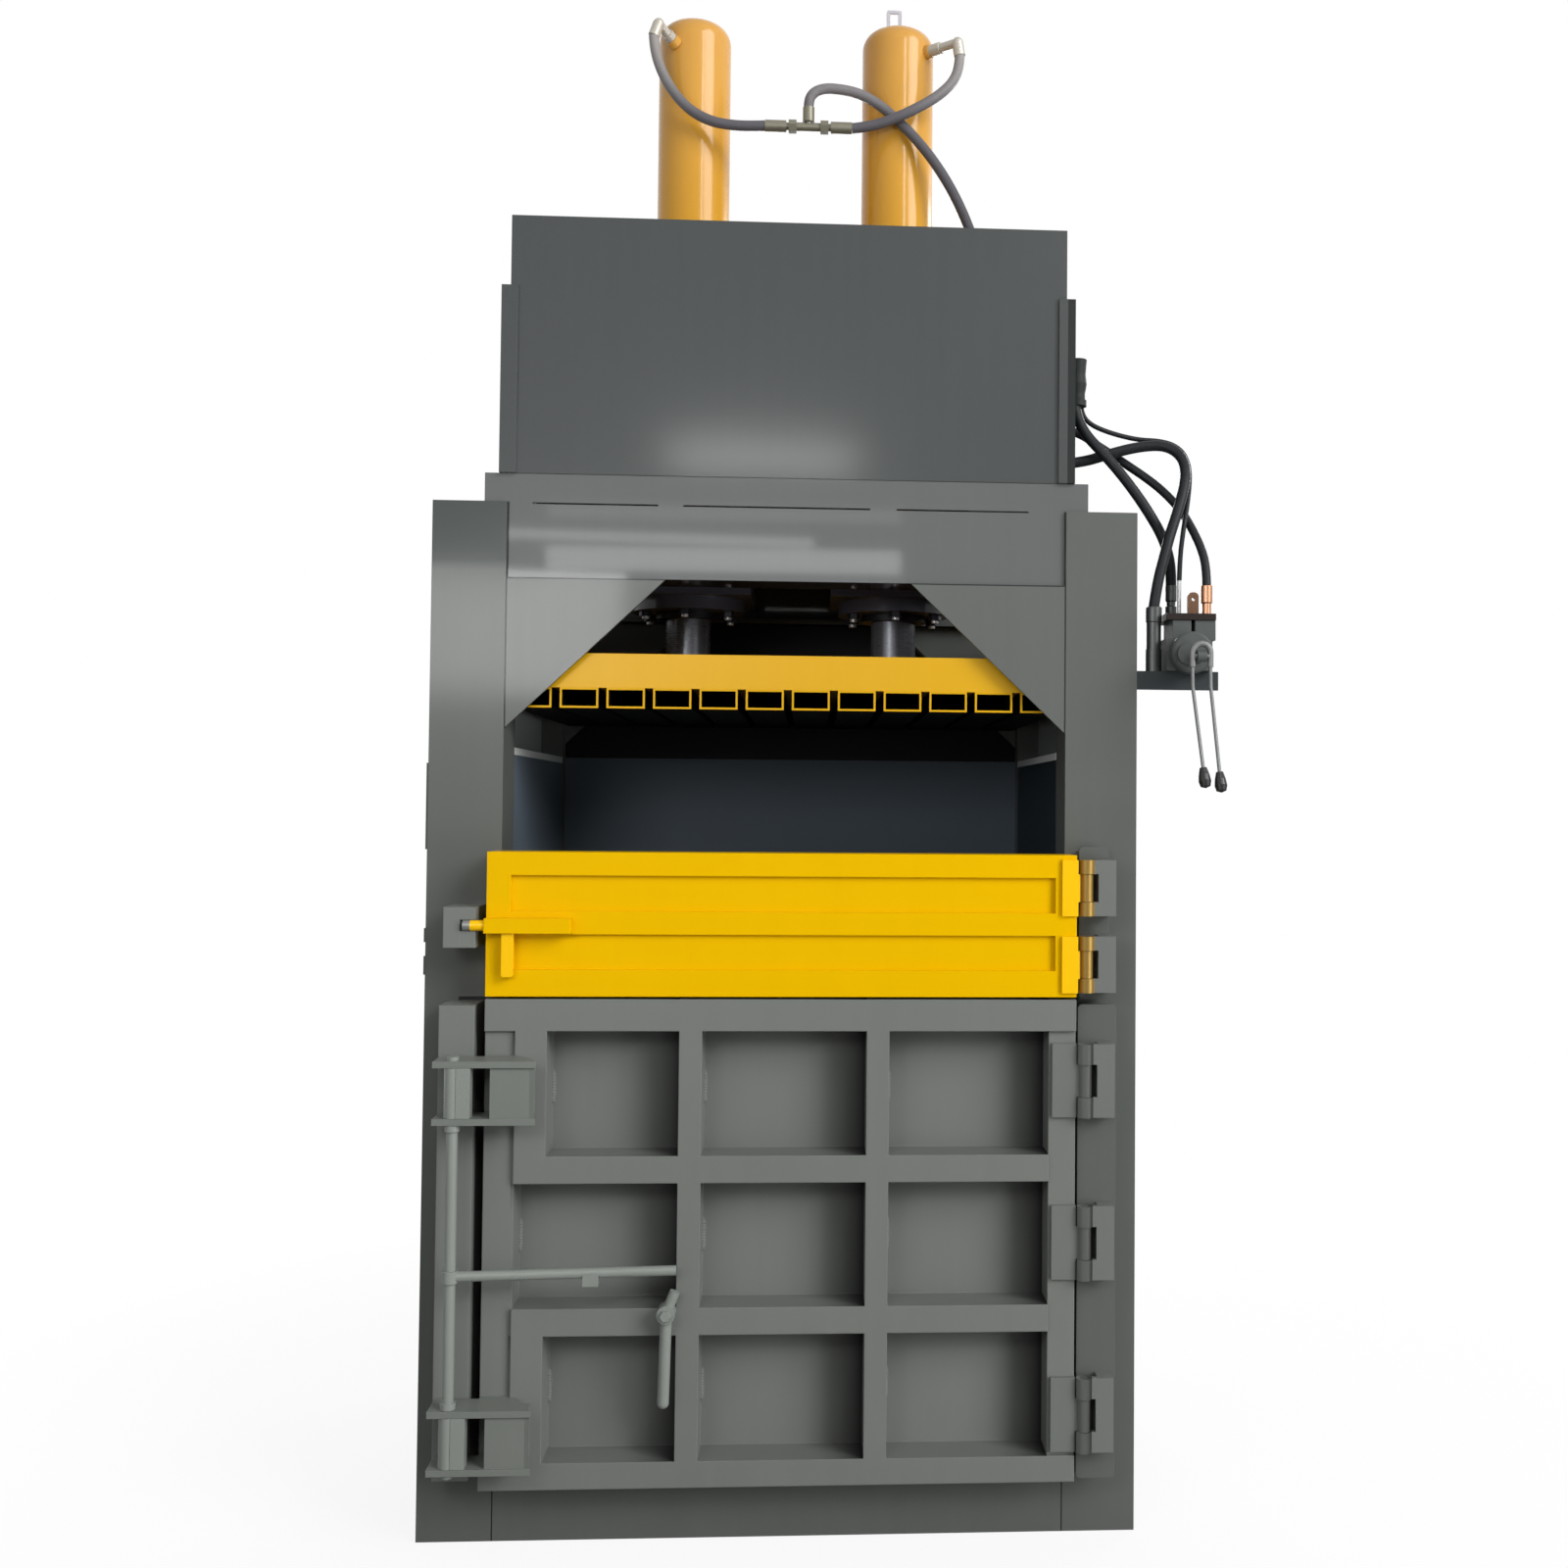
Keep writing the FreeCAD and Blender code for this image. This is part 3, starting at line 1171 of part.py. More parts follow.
def make_fittings():
    elbows = []
    for root, corner, end in PORTS.values():
        run = point(*corner) - point(*root)
        start = point(*root) + run * (10.3 / run.Length)
        nut_end = start + run * (0.45 - 10.3 / run.Length)
        parts = [slanted_rod(tuple(start), tuple(nut_end), "13"),
                 slanted_rod(tuple(start), corner, "9.5"), ball(corner, "11.5"),
                 slanted_rod(corner, end, "ferrule_radius")]
        elbows.append(fuse(*parts))
    keep("port_elbows", group(*elbows))

    x, y, z = "tee_x", "tee_y", "tee_z"
    run = rod("x", (f"{x} - 43", y, z), "9", "86")
    nuts = [prism("YZ", [hexagon("12.5", y, z)], (f"{x} + {a}", f"{x} + {b}")) for a, b in ((-43, -26), (26, 43))]
    ferrules = [rod("x", (f"{x} + {a}", y, z), "ferrule_radius", "46") for a in (-94, 48)]
    links = [rod("x", (f"{x} + {a}", y, z), "8", "6") for a in (-48.5, 42.5)]
    branch = rod("z", (x, y, z), "8", "20")
    cuff = rod("z", (x, y, f"{z} + 10"), "ferrule_radius", "32")
    keep("hose_tee", fuse(run, *nuts, *ferrules, *links, branch, cuff))

    sleeve = turned([("0", "0"), ("19", "0"), ("19", "12"), ("16", "14"), ("16", "26"), ("19.4", "46"),
                     ("17", "66"), ("19.4", "96"), ("0", "96")],
                    ("sleeve_x", "front + sleeve_set", "sleeve_bottom"))
    bracket = block(("cover_side_out", "sleeve_x"), ("front + sleeve_set - 12", "front + sleeve_set + 12"),
                    ("sleeve_bottom + 30", "sleeve_bottom + 80"))
    glands = [fuse(sleeve, bracket)]
    for y, z, r in GROMMETS:
        glands.append(turned([("0", "-10"), (f"{r} - 2", "-10"), (f"{r} - 2", "0"), (r, "0"), (r, "6"),
                              ("0", "6")], ("cover_side_out", y, z), "x"))
    keep("hose_glands", group(*glands))


# ---------------------------------------------------------------- control valve

def make_valve():
    out = "outer + shelf_length"
    top, low = "shelf_top", "shelf_top - shelf_height"
    angle = [("front", low), ("front + shelf_thick", low), ("front + shelf_thick", f"{top} - shelf_thick"),
             ("shelf_back", f"{top} - shelf_thick"), ("shelf_back", top), ("front", top)]
    keep("valve_shelf", prism("YZ", [angle], ("outer", out)))

    seam, head, lid = "shelf_top + valve_low", "shelf_top + valve_high", "shelf_top + valve_high + valve_lid"
    left, right = "valve_x - valve_half", "valve_x + valve_half"
    lower = block((left, f"{right} + 3"), ("front - 25", "front + 85"), (top, seam))
    upper_left = block((f"{left} + 15", "valve_x + 8"), ("front - 10", "front + 75"), (seam, head))
    upper_right = block(("valve_x + 16", f"{right} + 13"), ("front - 10", "front + 75"), (f"{seam} - 2", head))
    bridge = block(("valve_x + 7", "valve_x + 17"), ("front + 20", "front + 75"), (seam, head))
    plate = block((f"{left} + 1", f"{right} + 13"), ("front - 14", "front + 95"), (head, lid))
    boss = turned([("0", "0"), ("boss_radius - 4", "0"), ("boss_radius", "4"), ("boss_radius", "35"),
                   ("0", "35")], ("valve_x", "front - 60", "shelf_top + 33"), "y")
    nose = rod("y", ("valve_x - 10", "front - 70", "shelf_top + 29"), "22", "10")
    ear = block(("fork_x - 9", "fork_x + 9"), ("fork_y", "front - 60"), ("fork_z - 8", "fork_z + 8"))
    ear_end = rod("x", ("fork_x - 9", "fork_y", "fork_z"), "11.5", "18")
    drill = rod("x", ("fork_x - 30", "fork_y", "fork_z"), "fork_pin + running_gap", "60")
    keep("valve_body", cut(fuse(lower, upper_left, upper_right, bridge, plate, boss, nose, ear, ear_end), drill))

    adapter = turned([("0", "0"), ("16", "0"), ("16", "45"), ("14.5", "45"), ("14.5", "99"), ("16", "101"),
                      ("16", "129"), ("14", "131"), ("0", "131")], ("valve_x - 61", "front + 21", top))
    tall = turned([("0", "0"), ("11.5", "0"), ("11.5", "24"), ("9", "26"), ("9", "34"), ("11.5", "36"),
                   ("11.5", "67"), ("0", "67")], ("valve_x - 13", "front + 80", lid))
    copper = turned([("0", "0"), ("9", "0"), ("9", "24"), ("11.5", "26"), ("11.5", "60"), ("0", "60")],
                    ("valve_x + 46.5", "front + 22", lid))
    pale = rod("z", ("valve_x - 2", "front + 54", lid), "4", "75")
    lug = prism("XZ", [rectangle("valve_x + 7", "valve_x + 29", lid, f"{lid} + 46")], ("front + 16", "front + 24"))
    shoulder = number(lid) + 38
    rounded(lug, "9", lambda edge: edge_along("y")(edge) and edge.CenterOfMass.z > shoulder)
    lug = cut(lug, rod("y", ("valve_x + 18", "front + 15", f"{lid} + 32"), "3.5", "10"))
    keep("valve_fittings", group(adapter, tall, copper, pale, lug))

    left, right = "fork_x - fork_half", "fork_x + fork_half"
    y, foot = "fork_y", "shelf_top"
    arch = doc.addObject("Part::Torus", "Arch")
    arch.Placement.Rotation = FreeCAD.Rotation(V(0, 0, 1), V(0, 1, 0))
    bind(arch, Radius1="fork_half", Radius2="fork_radius", Placement__Base__x="fork_x",
         Placement__Base__y=y, Placement__Base__z="fork_arch_z")
    half = common(arch, block(("fork_x - 40", "fork_x + 40"), (f"{y} - 20", f"{y} + 20"),
                              ("fork_arch_z", "fork_arch_z + 40")))
    legs = [rod("z", (x, y, foot), "fork_radius", f"fork_arch_z - ({foot})") for x in (left, right)]
    pin = rod("x", (left, y, "fork_z"), "fork_pin", "2 * fork_half")
    wires, knobs = [], []
    for x, end in ((left, ("fork_x - 6.5", "fork_y - 43", "shelf_top - 196")),
                   (right, ("fork_x + 24.5", "fork_y - 45", "shelf_top - 204"))):
        elbow = (x, f"{y} - 3", "shelf_top - 39")
        wires += [slanted_rod((x, y, f"{foot} + 4"), elbow, "lever_wire"), ball(elbow, "lever_wire"),
                  slanted_rod(elbow, end, "lever_wire")]
        a, b = point(*elbow), point(*end)
        away = (b - a).normalize()
        knob = turned([("0", "0"), ("7", "0"), ("10.5", "14"), ("12", "26"), ("9.5", "36"), ("0", "40")],
                      tuple(str(c) for c in b))
        knob.Placement.Rotation = FreeCAD.Rotation(V(0, 0, 1), away)
        knobs.append(knob)
    keep("valve_lever", fuse(half, *legs, pin, *wires))
    keep("lever_knobs", group(*knobs))


# ---------------------------------------------------------------- hoses

LEFT_CYLINDER_HOSE = [
    (-307, -140, 3072), (-305, -141, 3041), (-289, -141, 2992), (-262, -141, 2947), (-227, -141, 2911),
    (-185, -140, 2890), (-139, -139, 2883), (-98, -140, 2882), (-66, -140, 2884)]
RIGHT_CYLINDER_HOSE = [
    (122, -140, 2884), (163, -143, 2888), (214, -153, 2903), (266, -158, 2927), (311, -152, 2958),
    (341, -142, 2992), (355, -132, 3027), (357, -126, 3058)]
SUPPLY_HOSE = [
    (28, -140, 2926), (28, -140, 2944), (38, -139, 2960), (56, -137, 2970), (84, -135, 2973),
    (135, -129, 2968), (178, -126, 2947), (217, -125, 2916), (255, -125, 2880), (292, -125, 2837),
    (326, -126, 2788), (356, -126, 2734), (383, -126, 2672), (407, -126, 2600), (422, -128, 2510),
    (429, -130, 2400), (425, -126, 2285)]
TANK_HOSE = [
    (582, -335, 2239), (584, -338, 2217), (602, -344, 2178), (635, -352, 2141), (668, -356, 2103),
    (701, -359, 2060), (731, -360, 2016), (757, -359, 1973), (772, -356, 1934), (778, -353, 1899),
    (779, -350, 1869)]
PRESSURE_HOSE = [
    (573, -318, 2124), (604, -318, 2128), (648, -319, 2142), (701, -322, 2157), (745, -326, 2163),
    (773, -332, 2160), (794, -341, 2146), (805, -353, 2122), (805, -366, 2092), (797, -377, 2057),
    (783, -389, 2014), (766, -398, 1967), (752, -405, 1918), (738, -409, 1867), (731, -409, 1818)]
THIN_LINE = [
    (597, -321, 2239), (600, -320, 2223), (616, -318, 2206), (645, -315, 2194), (684, -311, 2184),
    (723, -307, 2178), (761, -304, 2178), (793, -307, 2170), (814, -317, 2149), (821, -332, 2116),
    (817, -349, 2078), (809, -365, 2036), (801, -375, 1998), (795, -379, 1962), (791, -378, 1924),
    (790, -376, 1877)]
RETURN_HOSE = [
    (573, -288, 2200), (599, -288, 2194), (632, -288, 2172), (667, -289, 2150), (700, -293, 2127),
    (734, -302, 2102), (762, -314, 2077), (784, -328, 2051), (803, -345, 2022), (819, -364, 1985),
    (833, -384, 1943), (840, -399, 1902), (838.5, -408, 1862)]


def make_hoses():
    hose("left_cylinder_hose", LEFT_CYLINDER_HOSE, "hose_radius")
    hose("right_cylinder_hose", RIGHT_CYLINDER_HOSE, "hose_radius")
    hose("supply_hose", SUPPLY_HOSE, "hose_radius")
    hose("tank_hose", TANK_HOSE, "hose_radius")
    hose("pressure_hose", PRESSURE_HOSE, "hose_radius")
    hose("thin_line", THIN_LINE, "line_radius")
    hose("return_hose", RETURN_HOSE, "return_radius")


# ---------------------------------------------------------------- build and write

for make in (make_posts, make_base, make_walls, make_guards, make_gussets, make_crosshead, make_cylinders,
             make_platen, make_feed_door, make_main_door, make_hinges, make_latch, make_catch, make_bolt,
             make_cover, make_power_unit, make_fittings, make_valve, make_hoses):
    make()
doc.recompute()

for obj in doc.Objects:
    if "Invalid" in obj.State or "Error" in obj.State:
        raise RuntimeError(f"{obj.Name} ({obj.Label}) is {obj.State}")
for name, obj in NODES.items():
    if obj.Shape.isNull() or not obj.Shape.isValid():
        raise RuntimeError(f"{name} has no valid shape")

os.makedirs("parts", exist_ok=True)
for name, obj in NODES.items():
    obj.Shape.exportStep(f"parts/{name}.step")
    print(name, "solids", len(obj.Shape.Solids), "volume", round(obj.Shape.Volume))
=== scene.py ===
"""Looks of a vertical recycling baler: finishes, hoses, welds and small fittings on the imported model."""

import logging
import math
from dataclasses import dataclass, field
from enum import Enum
from functools import cache
from typing import Iterable, Optional, Sequence, Union

import bmesh
import bpy
import numpy as np
from mathutils import Matrix, Vector


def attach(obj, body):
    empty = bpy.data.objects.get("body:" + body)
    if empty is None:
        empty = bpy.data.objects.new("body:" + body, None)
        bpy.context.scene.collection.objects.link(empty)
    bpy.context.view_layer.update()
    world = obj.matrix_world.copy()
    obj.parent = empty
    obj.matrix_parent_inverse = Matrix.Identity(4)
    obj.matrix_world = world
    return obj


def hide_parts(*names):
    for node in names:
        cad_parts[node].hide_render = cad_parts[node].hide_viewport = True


log = logging.getLogger("baler")
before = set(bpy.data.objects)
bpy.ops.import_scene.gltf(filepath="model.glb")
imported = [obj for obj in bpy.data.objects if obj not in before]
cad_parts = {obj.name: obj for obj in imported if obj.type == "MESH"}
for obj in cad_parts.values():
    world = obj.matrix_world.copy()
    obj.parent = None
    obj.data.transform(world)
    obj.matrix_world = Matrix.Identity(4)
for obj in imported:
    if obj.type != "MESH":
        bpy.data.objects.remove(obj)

Colour = tuple[float, float, float, float]
Point = tuple[float, float, float]
MM = 0.001


def srgb(red: int, green: int, blue: int) -> Colour:
    """A colour as seen on a screen, turned into the linear values that shaders use.

    Args:
        red, green, blue: screen values from 0 to 255.

    Returns:
        Linear red, green, blue and an alpha of one.
    """
    parts = [value / 255 for value in (red, green, blue)]
    linear = [c / 12.92 if c <= 0.04045 else ((c + 0.055) / 1.055) ** 2.4 for c in parts]
    return (linear[0], linear[1], linear[2], 1.0)


def tint(colour: Colour, by: float) -> Colour:
    """The same colour, lighter above one and darker below it."""
    return (min(colour[0] * by, 1.0), min(colour[1] * by, 1.0), min(colour[2] * by, 1.0), 1.0)


# ------------------------------------------------------------------ shader expressions

class Term:
    """One value in a shader; the usual operators add Math nodes to it."""

    def __init__(self, shade: "Shade", socket: bpy.types.NodeSocket) -> None:
        """Wraps a node's output socket."""
        self.shade = shade
        self.socket = socket

    def _math(self, operation: str, left: "Value", right: "Value" = 0.0) -> "Term":
        """A Math node on two values."""
        return self.shade.node("ShaderNodeMath", {"operation": operation}, {0: left, 1: right})

    def __add__(self, other: "Value") -> "Term":
        """This value plus another."""
        return self._math("ADD", self, other)

    __radd__ = __add__

    def __sub__(self, other: "Value") -> "Term":
        """This value less another."""
        return self._math("SUBTRACT", self, other)

    def __rsub__(self, other: "Value") -> "Term":
        """Another value less this one."""
        return self._math("SUBTRACT", other, self)

    def __mul__(self, other: "Value") -> "Term":
        """This value times another."""
        return self._math("MULTIPLY", self, other)

    __rmul__ = __mul__

    def __gt__(self, other: "Value") -> "Term":
        """One where this value is larger, else zero."""
        return self._math("GREATER_THAN", self, other)

    def __lt__(self, other: "Value") -> "Term":
        """One where this value is smaller, else zero."""
        return self._math("LESS_THAN", self, other)

    def sine(self) -> "Term":
        """The sine of this value in radians."""
        return self._math("SINE", self)

    def size(self) -> "Term":
        """How far this value lies from zero."""
        return self._math("ABSOLUTE", self)

    def larger(self, other: "Value") -> "Term":
        """The larger of this value and another."""
        return self._math("MAXIMUM", self, other)

    def within(self, low: float, high: float) -> "Term":
        """One where this value lies between two bounds."""
        return (self > low) * (self < high)

    def ramp(self, low: float, high: float) -> "Term":
        """Zero below one bound, one above the other, and straight between them."""
        return self.shade.node("ShaderNodeMapRange", {"clamp": True}, {
            "Value": self, "From Min": low, "From Max": high, "To Min": 0.0, "To Max": 1.0})


Value = Union[Term, float, tuple]


class Shade:
    """A material with a principled surface, whose inputs are written as expressions."""

    def __init__(self, name: str) -> None:
        """Starts an empty material."""
        self.material = bpy.data.materials.new(name)
        self.material.use_nodes = True
        self.tree = self.material.node_tree
        self.tree.nodes.clear()
        self.surface = self.tree.nodes.new("ShaderNodeBsdfPrincipled")
        output = self.tree.nodes.new("ShaderNodeOutputMaterial")
        self.tree.links.new(self.surface.outputs[0], output.inputs[0])
        self.place = self.node("ShaderNodeTexCoord", output="Object")

    def node(self, kind: str, settings: Optional[dict] = None, sockets: Optional[dict] = None,
             output: Union[int, str] = 0) -> Term:
        """Adds any node.

        Args:
            kind: the node's type.
            settings: its own settings, which are set first.
            sockets: values or links for its inputs, by name or number.
            output: which output to hand back, by name or number.

        Returns:
            That output as a value.
        """
        made = self.tree.nodes.new(kind)
        for key, value in (settings or {}).items():
            setattr(made, key, value)
        for key, value in (sockets or {}).items():
            self.feed(made.inputs[key], value)
        return Term(self, made.outputs[output])

    def feed(self, socket: bpy.types.NodeSocket, value: Value) -> None:
        """Links a value into a socket, or sets the socket's own number or colour.

        Args:
            socket: an input.
            value: a term to link, or a plain number or colour.
        """
        if isinstance(value, Term):
            self.tree.links.new(value.socket, socket)
        else:
            socket.default_value = value

    def set(self, **inputs: Value) -> None:
        """Sets inputs of the surface; an underscore stands for a space in a name."""
        for key, value in inputs.items():
            self.feed(self.surface.inputs[key.replace("_", " ")], value)

    def stretched(self, x: float, y: float, z: float) -> Term:
        """The place on the object, scaled by an amount along each axis."""
        return self.node("ShaderNodeMapping", {}, {0: self.place, 3: (x, y, z)})

    def noise(self, scale: float, detail: float = 3.0, place: Optional[Term] = None,
              rough: float = 0.5) -> Term:
        """Cloudy noise about one half, at so many clouds to the metre."""
        return self.node("ShaderNodeTexNoise", {}, {"Vector": place or self.place, "Scale": scale,
                                                    "Detail": detail, "Roughness": rough})

    def blend(self, amount: Value, first: Value, second: Value) -> Term:
        """A mix of two colours; sockets 6, 7 and 2 are the node's own for colours."""
        return self.node("ShaderNodeMix", {"data_type": "RGBA"}, {0: amount, 6: first, 7: second}, output=2)

    def scaled(self, colour: Value, by: Value) -> Term:
        """A colour times a number."""
        return self.node("ShaderNodeVectorMath", {"operation": "SCALE"}, {0: colour, "Scale": by})

    def axes(self) -> tuple[Term, Term, Term]:
        """The three coordinates of the place on the object, in metres."""
        parts = self.node("ShaderNodeSeparateXYZ", {}, {0: self.place})
        outputs = parts.socket.node.outputs
        return Term(self, outputs[0]), Term(self, outputs[1]), Term(self, outputs[2])

    def soft_edge(self, radius: float) -> Term:
        """The surface's direction with its edges rounded by a radius in metres."""
        return self.node("ShaderNodeBevel", {"samples": 4}, {"Radius": radius})

    def edge_mask(self, soft: Term) -> Term:
        """Rises from zero to one where the rounded direction leaves the flat one.

        Args:
            soft: the rounded direction.

        Returns:
            The mask.
        """
        flat = self.node("ShaderNodeNewGeometry", output="Normal")
        level = self.node("ShaderNodeVectorMath", {"operation": "DOT_PRODUCT"}, {0: soft, 1: flat}, "Value")
        return (1.0 - level).ramp(0.02, 0.16)

    def bump(self, height: Value, depth: float, strength: float = 1.0, normal: Optional[Term] = None) -> Term:
        """A bumped surface direction.

        Args:
            height: relief from zero to one.
            depth: metres between zero and one.
            strength: share of the relief to show.
            normal: the direction to start from.

        Returns:
            The bumped direction.
        """
        sockets = {"Height": height, "Distance": depth, "Strength": strength}
        if normal is not None:
            sockets["Normal"] = normal
        return self.node("ShaderNodeBump", {}, sockets)

    def round_mask(self, x: float, y: float, radius: float) -> Term:
        """One inside an upright cylinder, zero outside it.

        Args:
            x, y, radius: the cylinder's axis and size, in metres.

        Returns:
            The mask.
        """
        px, py, _ = self.axes()
        across, along = px - x, py - y
        return (across * across + along * along) < radius * radius

    def overlay(self, mask: Term, colour: Value, roughness: float, metallic: float = 0.0) -> None:
        """Lays another finish over part of the surface.

        Args:
            mask: one where the new finish shows.
            colour: the new finish's colour.
            roughness, metallic: the new finish's numbers.
        """
        for key, value in (("Base Color", colour), ("Metallic", metallic), ("Roughness", roughness)):
            socket = self.surface.inputs[key]
            before = Term(self, socket.links[0].from_socket) if socket.is_linked else socket.default_value
            if key == "Base Color":
                self.feed(socket, self.blend(mask, before, value))
            else:
                self.feed(socket, mask * value + (1.0 - mask) * before)


# ------------------------------------------------------------------ finishes

class Sheen(Enum):
    """How far a sprayed coat shines."""

    SATIN = 0.46
    SEMI_GLOSS = 0.36
    GLOSS = 0.27


@dataclass(frozen=True)
class Enamel:
    """Enamel sprayed on steel: drifting tone, orange peel, slight plate waves and softened edges, painted
    lighter as a painted highlight.
    """

    name: str
    tone: Colour
    sheen: Sheen = Sheen.SEMI_GLOSS
    drift: float = 0.06
    peel: float = 0.00010
    wave: float = 0.0012
    edge: float = 0.0016
    # how much lighter the edges are painted, as a painted highlight
    edge_highlight: float = 1.22
    grime: float = 0.25
    gloss: float = 0.24
    lacquer: float = 0.0
    lacquer_blur: float = 0.2

    def colour(self, shade: Shade) -> Term:
        """The coat's colour: broad drift, faint upright streaks and a film of dust low down.

        Args:
            shade: the material in hand.

        Returns:
            The colour.
        """
        broad = shade.noise(1.7, 2.0)
        streaks = shade.noise(1.0, 4.0, shade.stretched(38, 38, 1.6))
        level = (broad - 0.5) * (2.4 * self.drift) + (streaks - 0.5) * (1.3 * self.drift) + 1.0
        scaled = shade.scaled(self.tone[:3], level)
        height = shade.axes()[2]
        film = (1.0 - height.ramp(0.0, 0.9)) * shade.noise(5.0, 5.0, rough=0.65).ramp(0.35, 0.8) * self.grime
        return shade.blend(film * 0.5, scaled, DUST)

    def make(self) -> Shade:
        """The coat as a material.

        Returns:
            The finished shade, still open to change.
        """
        shade = Shade(self.name)
        soft = shade.soft_edge(self.edge)
        edge = shade.edge_mask(soft)
        colour = self.colour(shade)
        # painted highlight: the edges' colour, lighter by that factor
        highlit_colour = shade.scaled(colour, self.edge_highlight)
        grain = shade.noise(420.0, 2.0)
        rough = (shade.noise(3.5, 4.0) - 0.5) * 0.14 + (grain - 0.5) * 0.05 + self.sheen.value
        waves = shade.noise(2.6, 1.0)
        relief = shade.bump(waves, self.wave, 1.0, shade.bump(grain, self.peel, 1.0, soft))
        shade.set(Base_Color=shade.blend(edge * 0.55, colour, highlit_colour), Roughness=rough, Normal=relief,
                  Specular_IOR_Level=self.gloss, Coat_Roughness=self.lacquer_blur, Coat_Weight=self.lacquer)
        return shade


@dataclass(frozen=True)
class BareMetal:
    """Turned or drawn metal: fine rings or lines, smears of oil and duller patches."""

    name: str
    tone: Colour
    roughness: float = 0.3
    metallic: float = 1.0
    lines: Point = (60.0, 60.0, 900.0)
    depth: float = 0.00004
    patch: float = 0.2
    gloss: float = 0.5

    def make(self) -> Shade:
        """The metal as a material.

        Returns:
            The finished shade, still open to change.
        """
        shade = Shade(self.name)
        lines = shade.noise(1.0, 2.0, shade.stretched(*self.lines))
        smears = shade.noise(9.0, 5.0, rough=0.6)
        colour = shade.blend(smears.ramp(0.35, 0.75) * self.patch, tint(self.tone, 1.08),
                             tint(self.tone, 0.72))
        rough = (lines - 0.5) * 0.16 + (smears - 0.5) * 0.18 + self.roughness
        shade.set(Base_Color=colour, Roughness=rough, Metallic=self.metallic, Specular_IOR_Level=self.gloss,
                  Normal=shade.bump(lines, self.depth, 1.0, shade.soft_edge(0.0008)))
        return shade


@dataclass(frozen=True)
class HoseCover:
    """Smooth rubber cover of a hydraulic hose, with a cloth-wrap print and scuffs."""

    name: str
    tone: Colour
    roughness: float = 0.5
    wrap: float = 620.0
    upper: Optional[Colour] = None
    upper_from: float = 2.42
    upper_to: float = 2.98
    pale_from: float = 2.9
    pale_to: float = 3.07

    def make(self) -> Shade:
        """The cover as a material.

        Returns:
            The finished shade.
        """
        shade = Shade(self.name)
        x, y, z = shade.axes()
        weave = ((x + z) * self.wrap).sine() * 0.5 + ((z - x + y) * self.wrap).sine() * 0.5
        scuff = shade.noise(34.0, 6.0, rough=0.65).ramp(0.55, 0.85)
        worn = shade.blend(scuff * 0.35, self.tone, tint(self.tone, 1.9))
        # above the given heights the cover turns to the upper tone, then to a pale one
        if self.upper:
            worn = shade.blend(z.ramp(self.upper_from, self.upper_to), worn, self.upper)
            worn = shade.blend(z.ramp(self.pale_from, self.pale_to) * 0.92, worn, PALE_RUBBER)
        shade.set(Base_Color=worn, Roughness=scuff * 0.2 + self.roughness, Specular_IOR_Level=0.16,
                  Normal=shade.bump(weave * 0.5 + 0.5, 0.00012, 0.7))
        return shade


@dataclass(frozen=True)
class Moulded:
    """Moulded plastic with a fine sparkle and small dents."""

    name: str
    tone: Colour
    roughness: float = 0.3

    def make(self) -> Shade:
        """The plastic as a material.

        Returns:
            The finished shade.
        """
        shade = Shade(self.name)
        fine = shade.noise(700.0, 2.0)
        dents = shade.noise(60.0, 3.0)
        colour = shade.blend(dents.ramp(0.4, 0.8) * 0.3, self.tone, tint(self.tone, 1.5))
        shade.set(Base_Color=colour, Roughness=(dents - 0.5) * 0.2 + self.roughness,
                  Normal=shade.bump(fine, 0.00003, 1.0))
        return shade


class Greys:
    """The baler's paint tones, named for where they go."""

    # darker than the frame's grey: painted shade on the machine's top
    COVER = srgb(70, 73, 73)
    HEAD = srgb(92, 94, 94)
    FRAME = srgb(90, 93, 90)
    DOOR = srgb(112, 115, 111)
    HINGE = srgb(106, 109, 106)
    LATCH = srgb(112, 116, 111)
    ROD = srgb(130, 135, 130)
    CHAMBER = srgb(88, 98, 108)
    # the rim bar's own lighter paint, made lighter still as painted light for the shade it stands in
    RIM = srgb(196, 200, 200)
    # a darker, bluish grey that stands in for the shade under the deck: painted shade
    UNDERSIDE = srgb(70, 70, 80)


YELLOW = srgb(238, 186, 0)
PLATEN_YELLOW = srgb(208, 159, 21)
AMBER = srgb(216, 155, 12)
BRASS = srgb(146, 118, 60)
COPPER = srgb(180, 132, 104)
STEEL = srgb(150, 152, 150)
DARK_STEEL = srgb(70, 72, 72)
KHAKI = srgb(122, 119, 104)
RUBBER = srgb(33, 35, 38)
GREY_RUBBER = srgb(104, 102, 107)
PALE_RUBBER = srgb(160, 155, 152)
DUST = tint(srgb(72, 70, 65), 0.9)

MOTOR_ENAMEL = Enamel("motor_enamel", srgb(84, 92, 98), Sheen.SATIN)
TURNED_STEEL = BareMetal("turned_steel", STEEL, 0.34)

Finish = Union[Enamel, BareMetal, HoseCover, Moulded]


# ------------------------------------------------------------------ where finishes change, in metres

OPENING = 0.55          # inner faces of the posts, from the middle plane
FRONT = -0.43           # front faces of the posts and the base
BASE_TOP = 0.118
WALL_RIM = 1.5115       # just above the lower side of the bar along the side walls' top
DOOR_SPLIT = 1.045      # between the main door's hinges and the feed door's
DOOR_FACE = -0.519      # just behind the faces of the main door's bars
SHEET_FACE = -0.44      # front faces of both doors' sheets
SKIM = 0.0025           # how far a finish on a sheet reaches to either side of its face
DOOR_COLUMNS = ((-0.503, -0.1965), (-0.1535, 0.1585), (0.2015, 0.508))  # the main door's recesses across
DOOR_ROWS = ((0.181, 0.4155), (0.4665, 0.6995), (0.7505, 0.985))        # and upwards


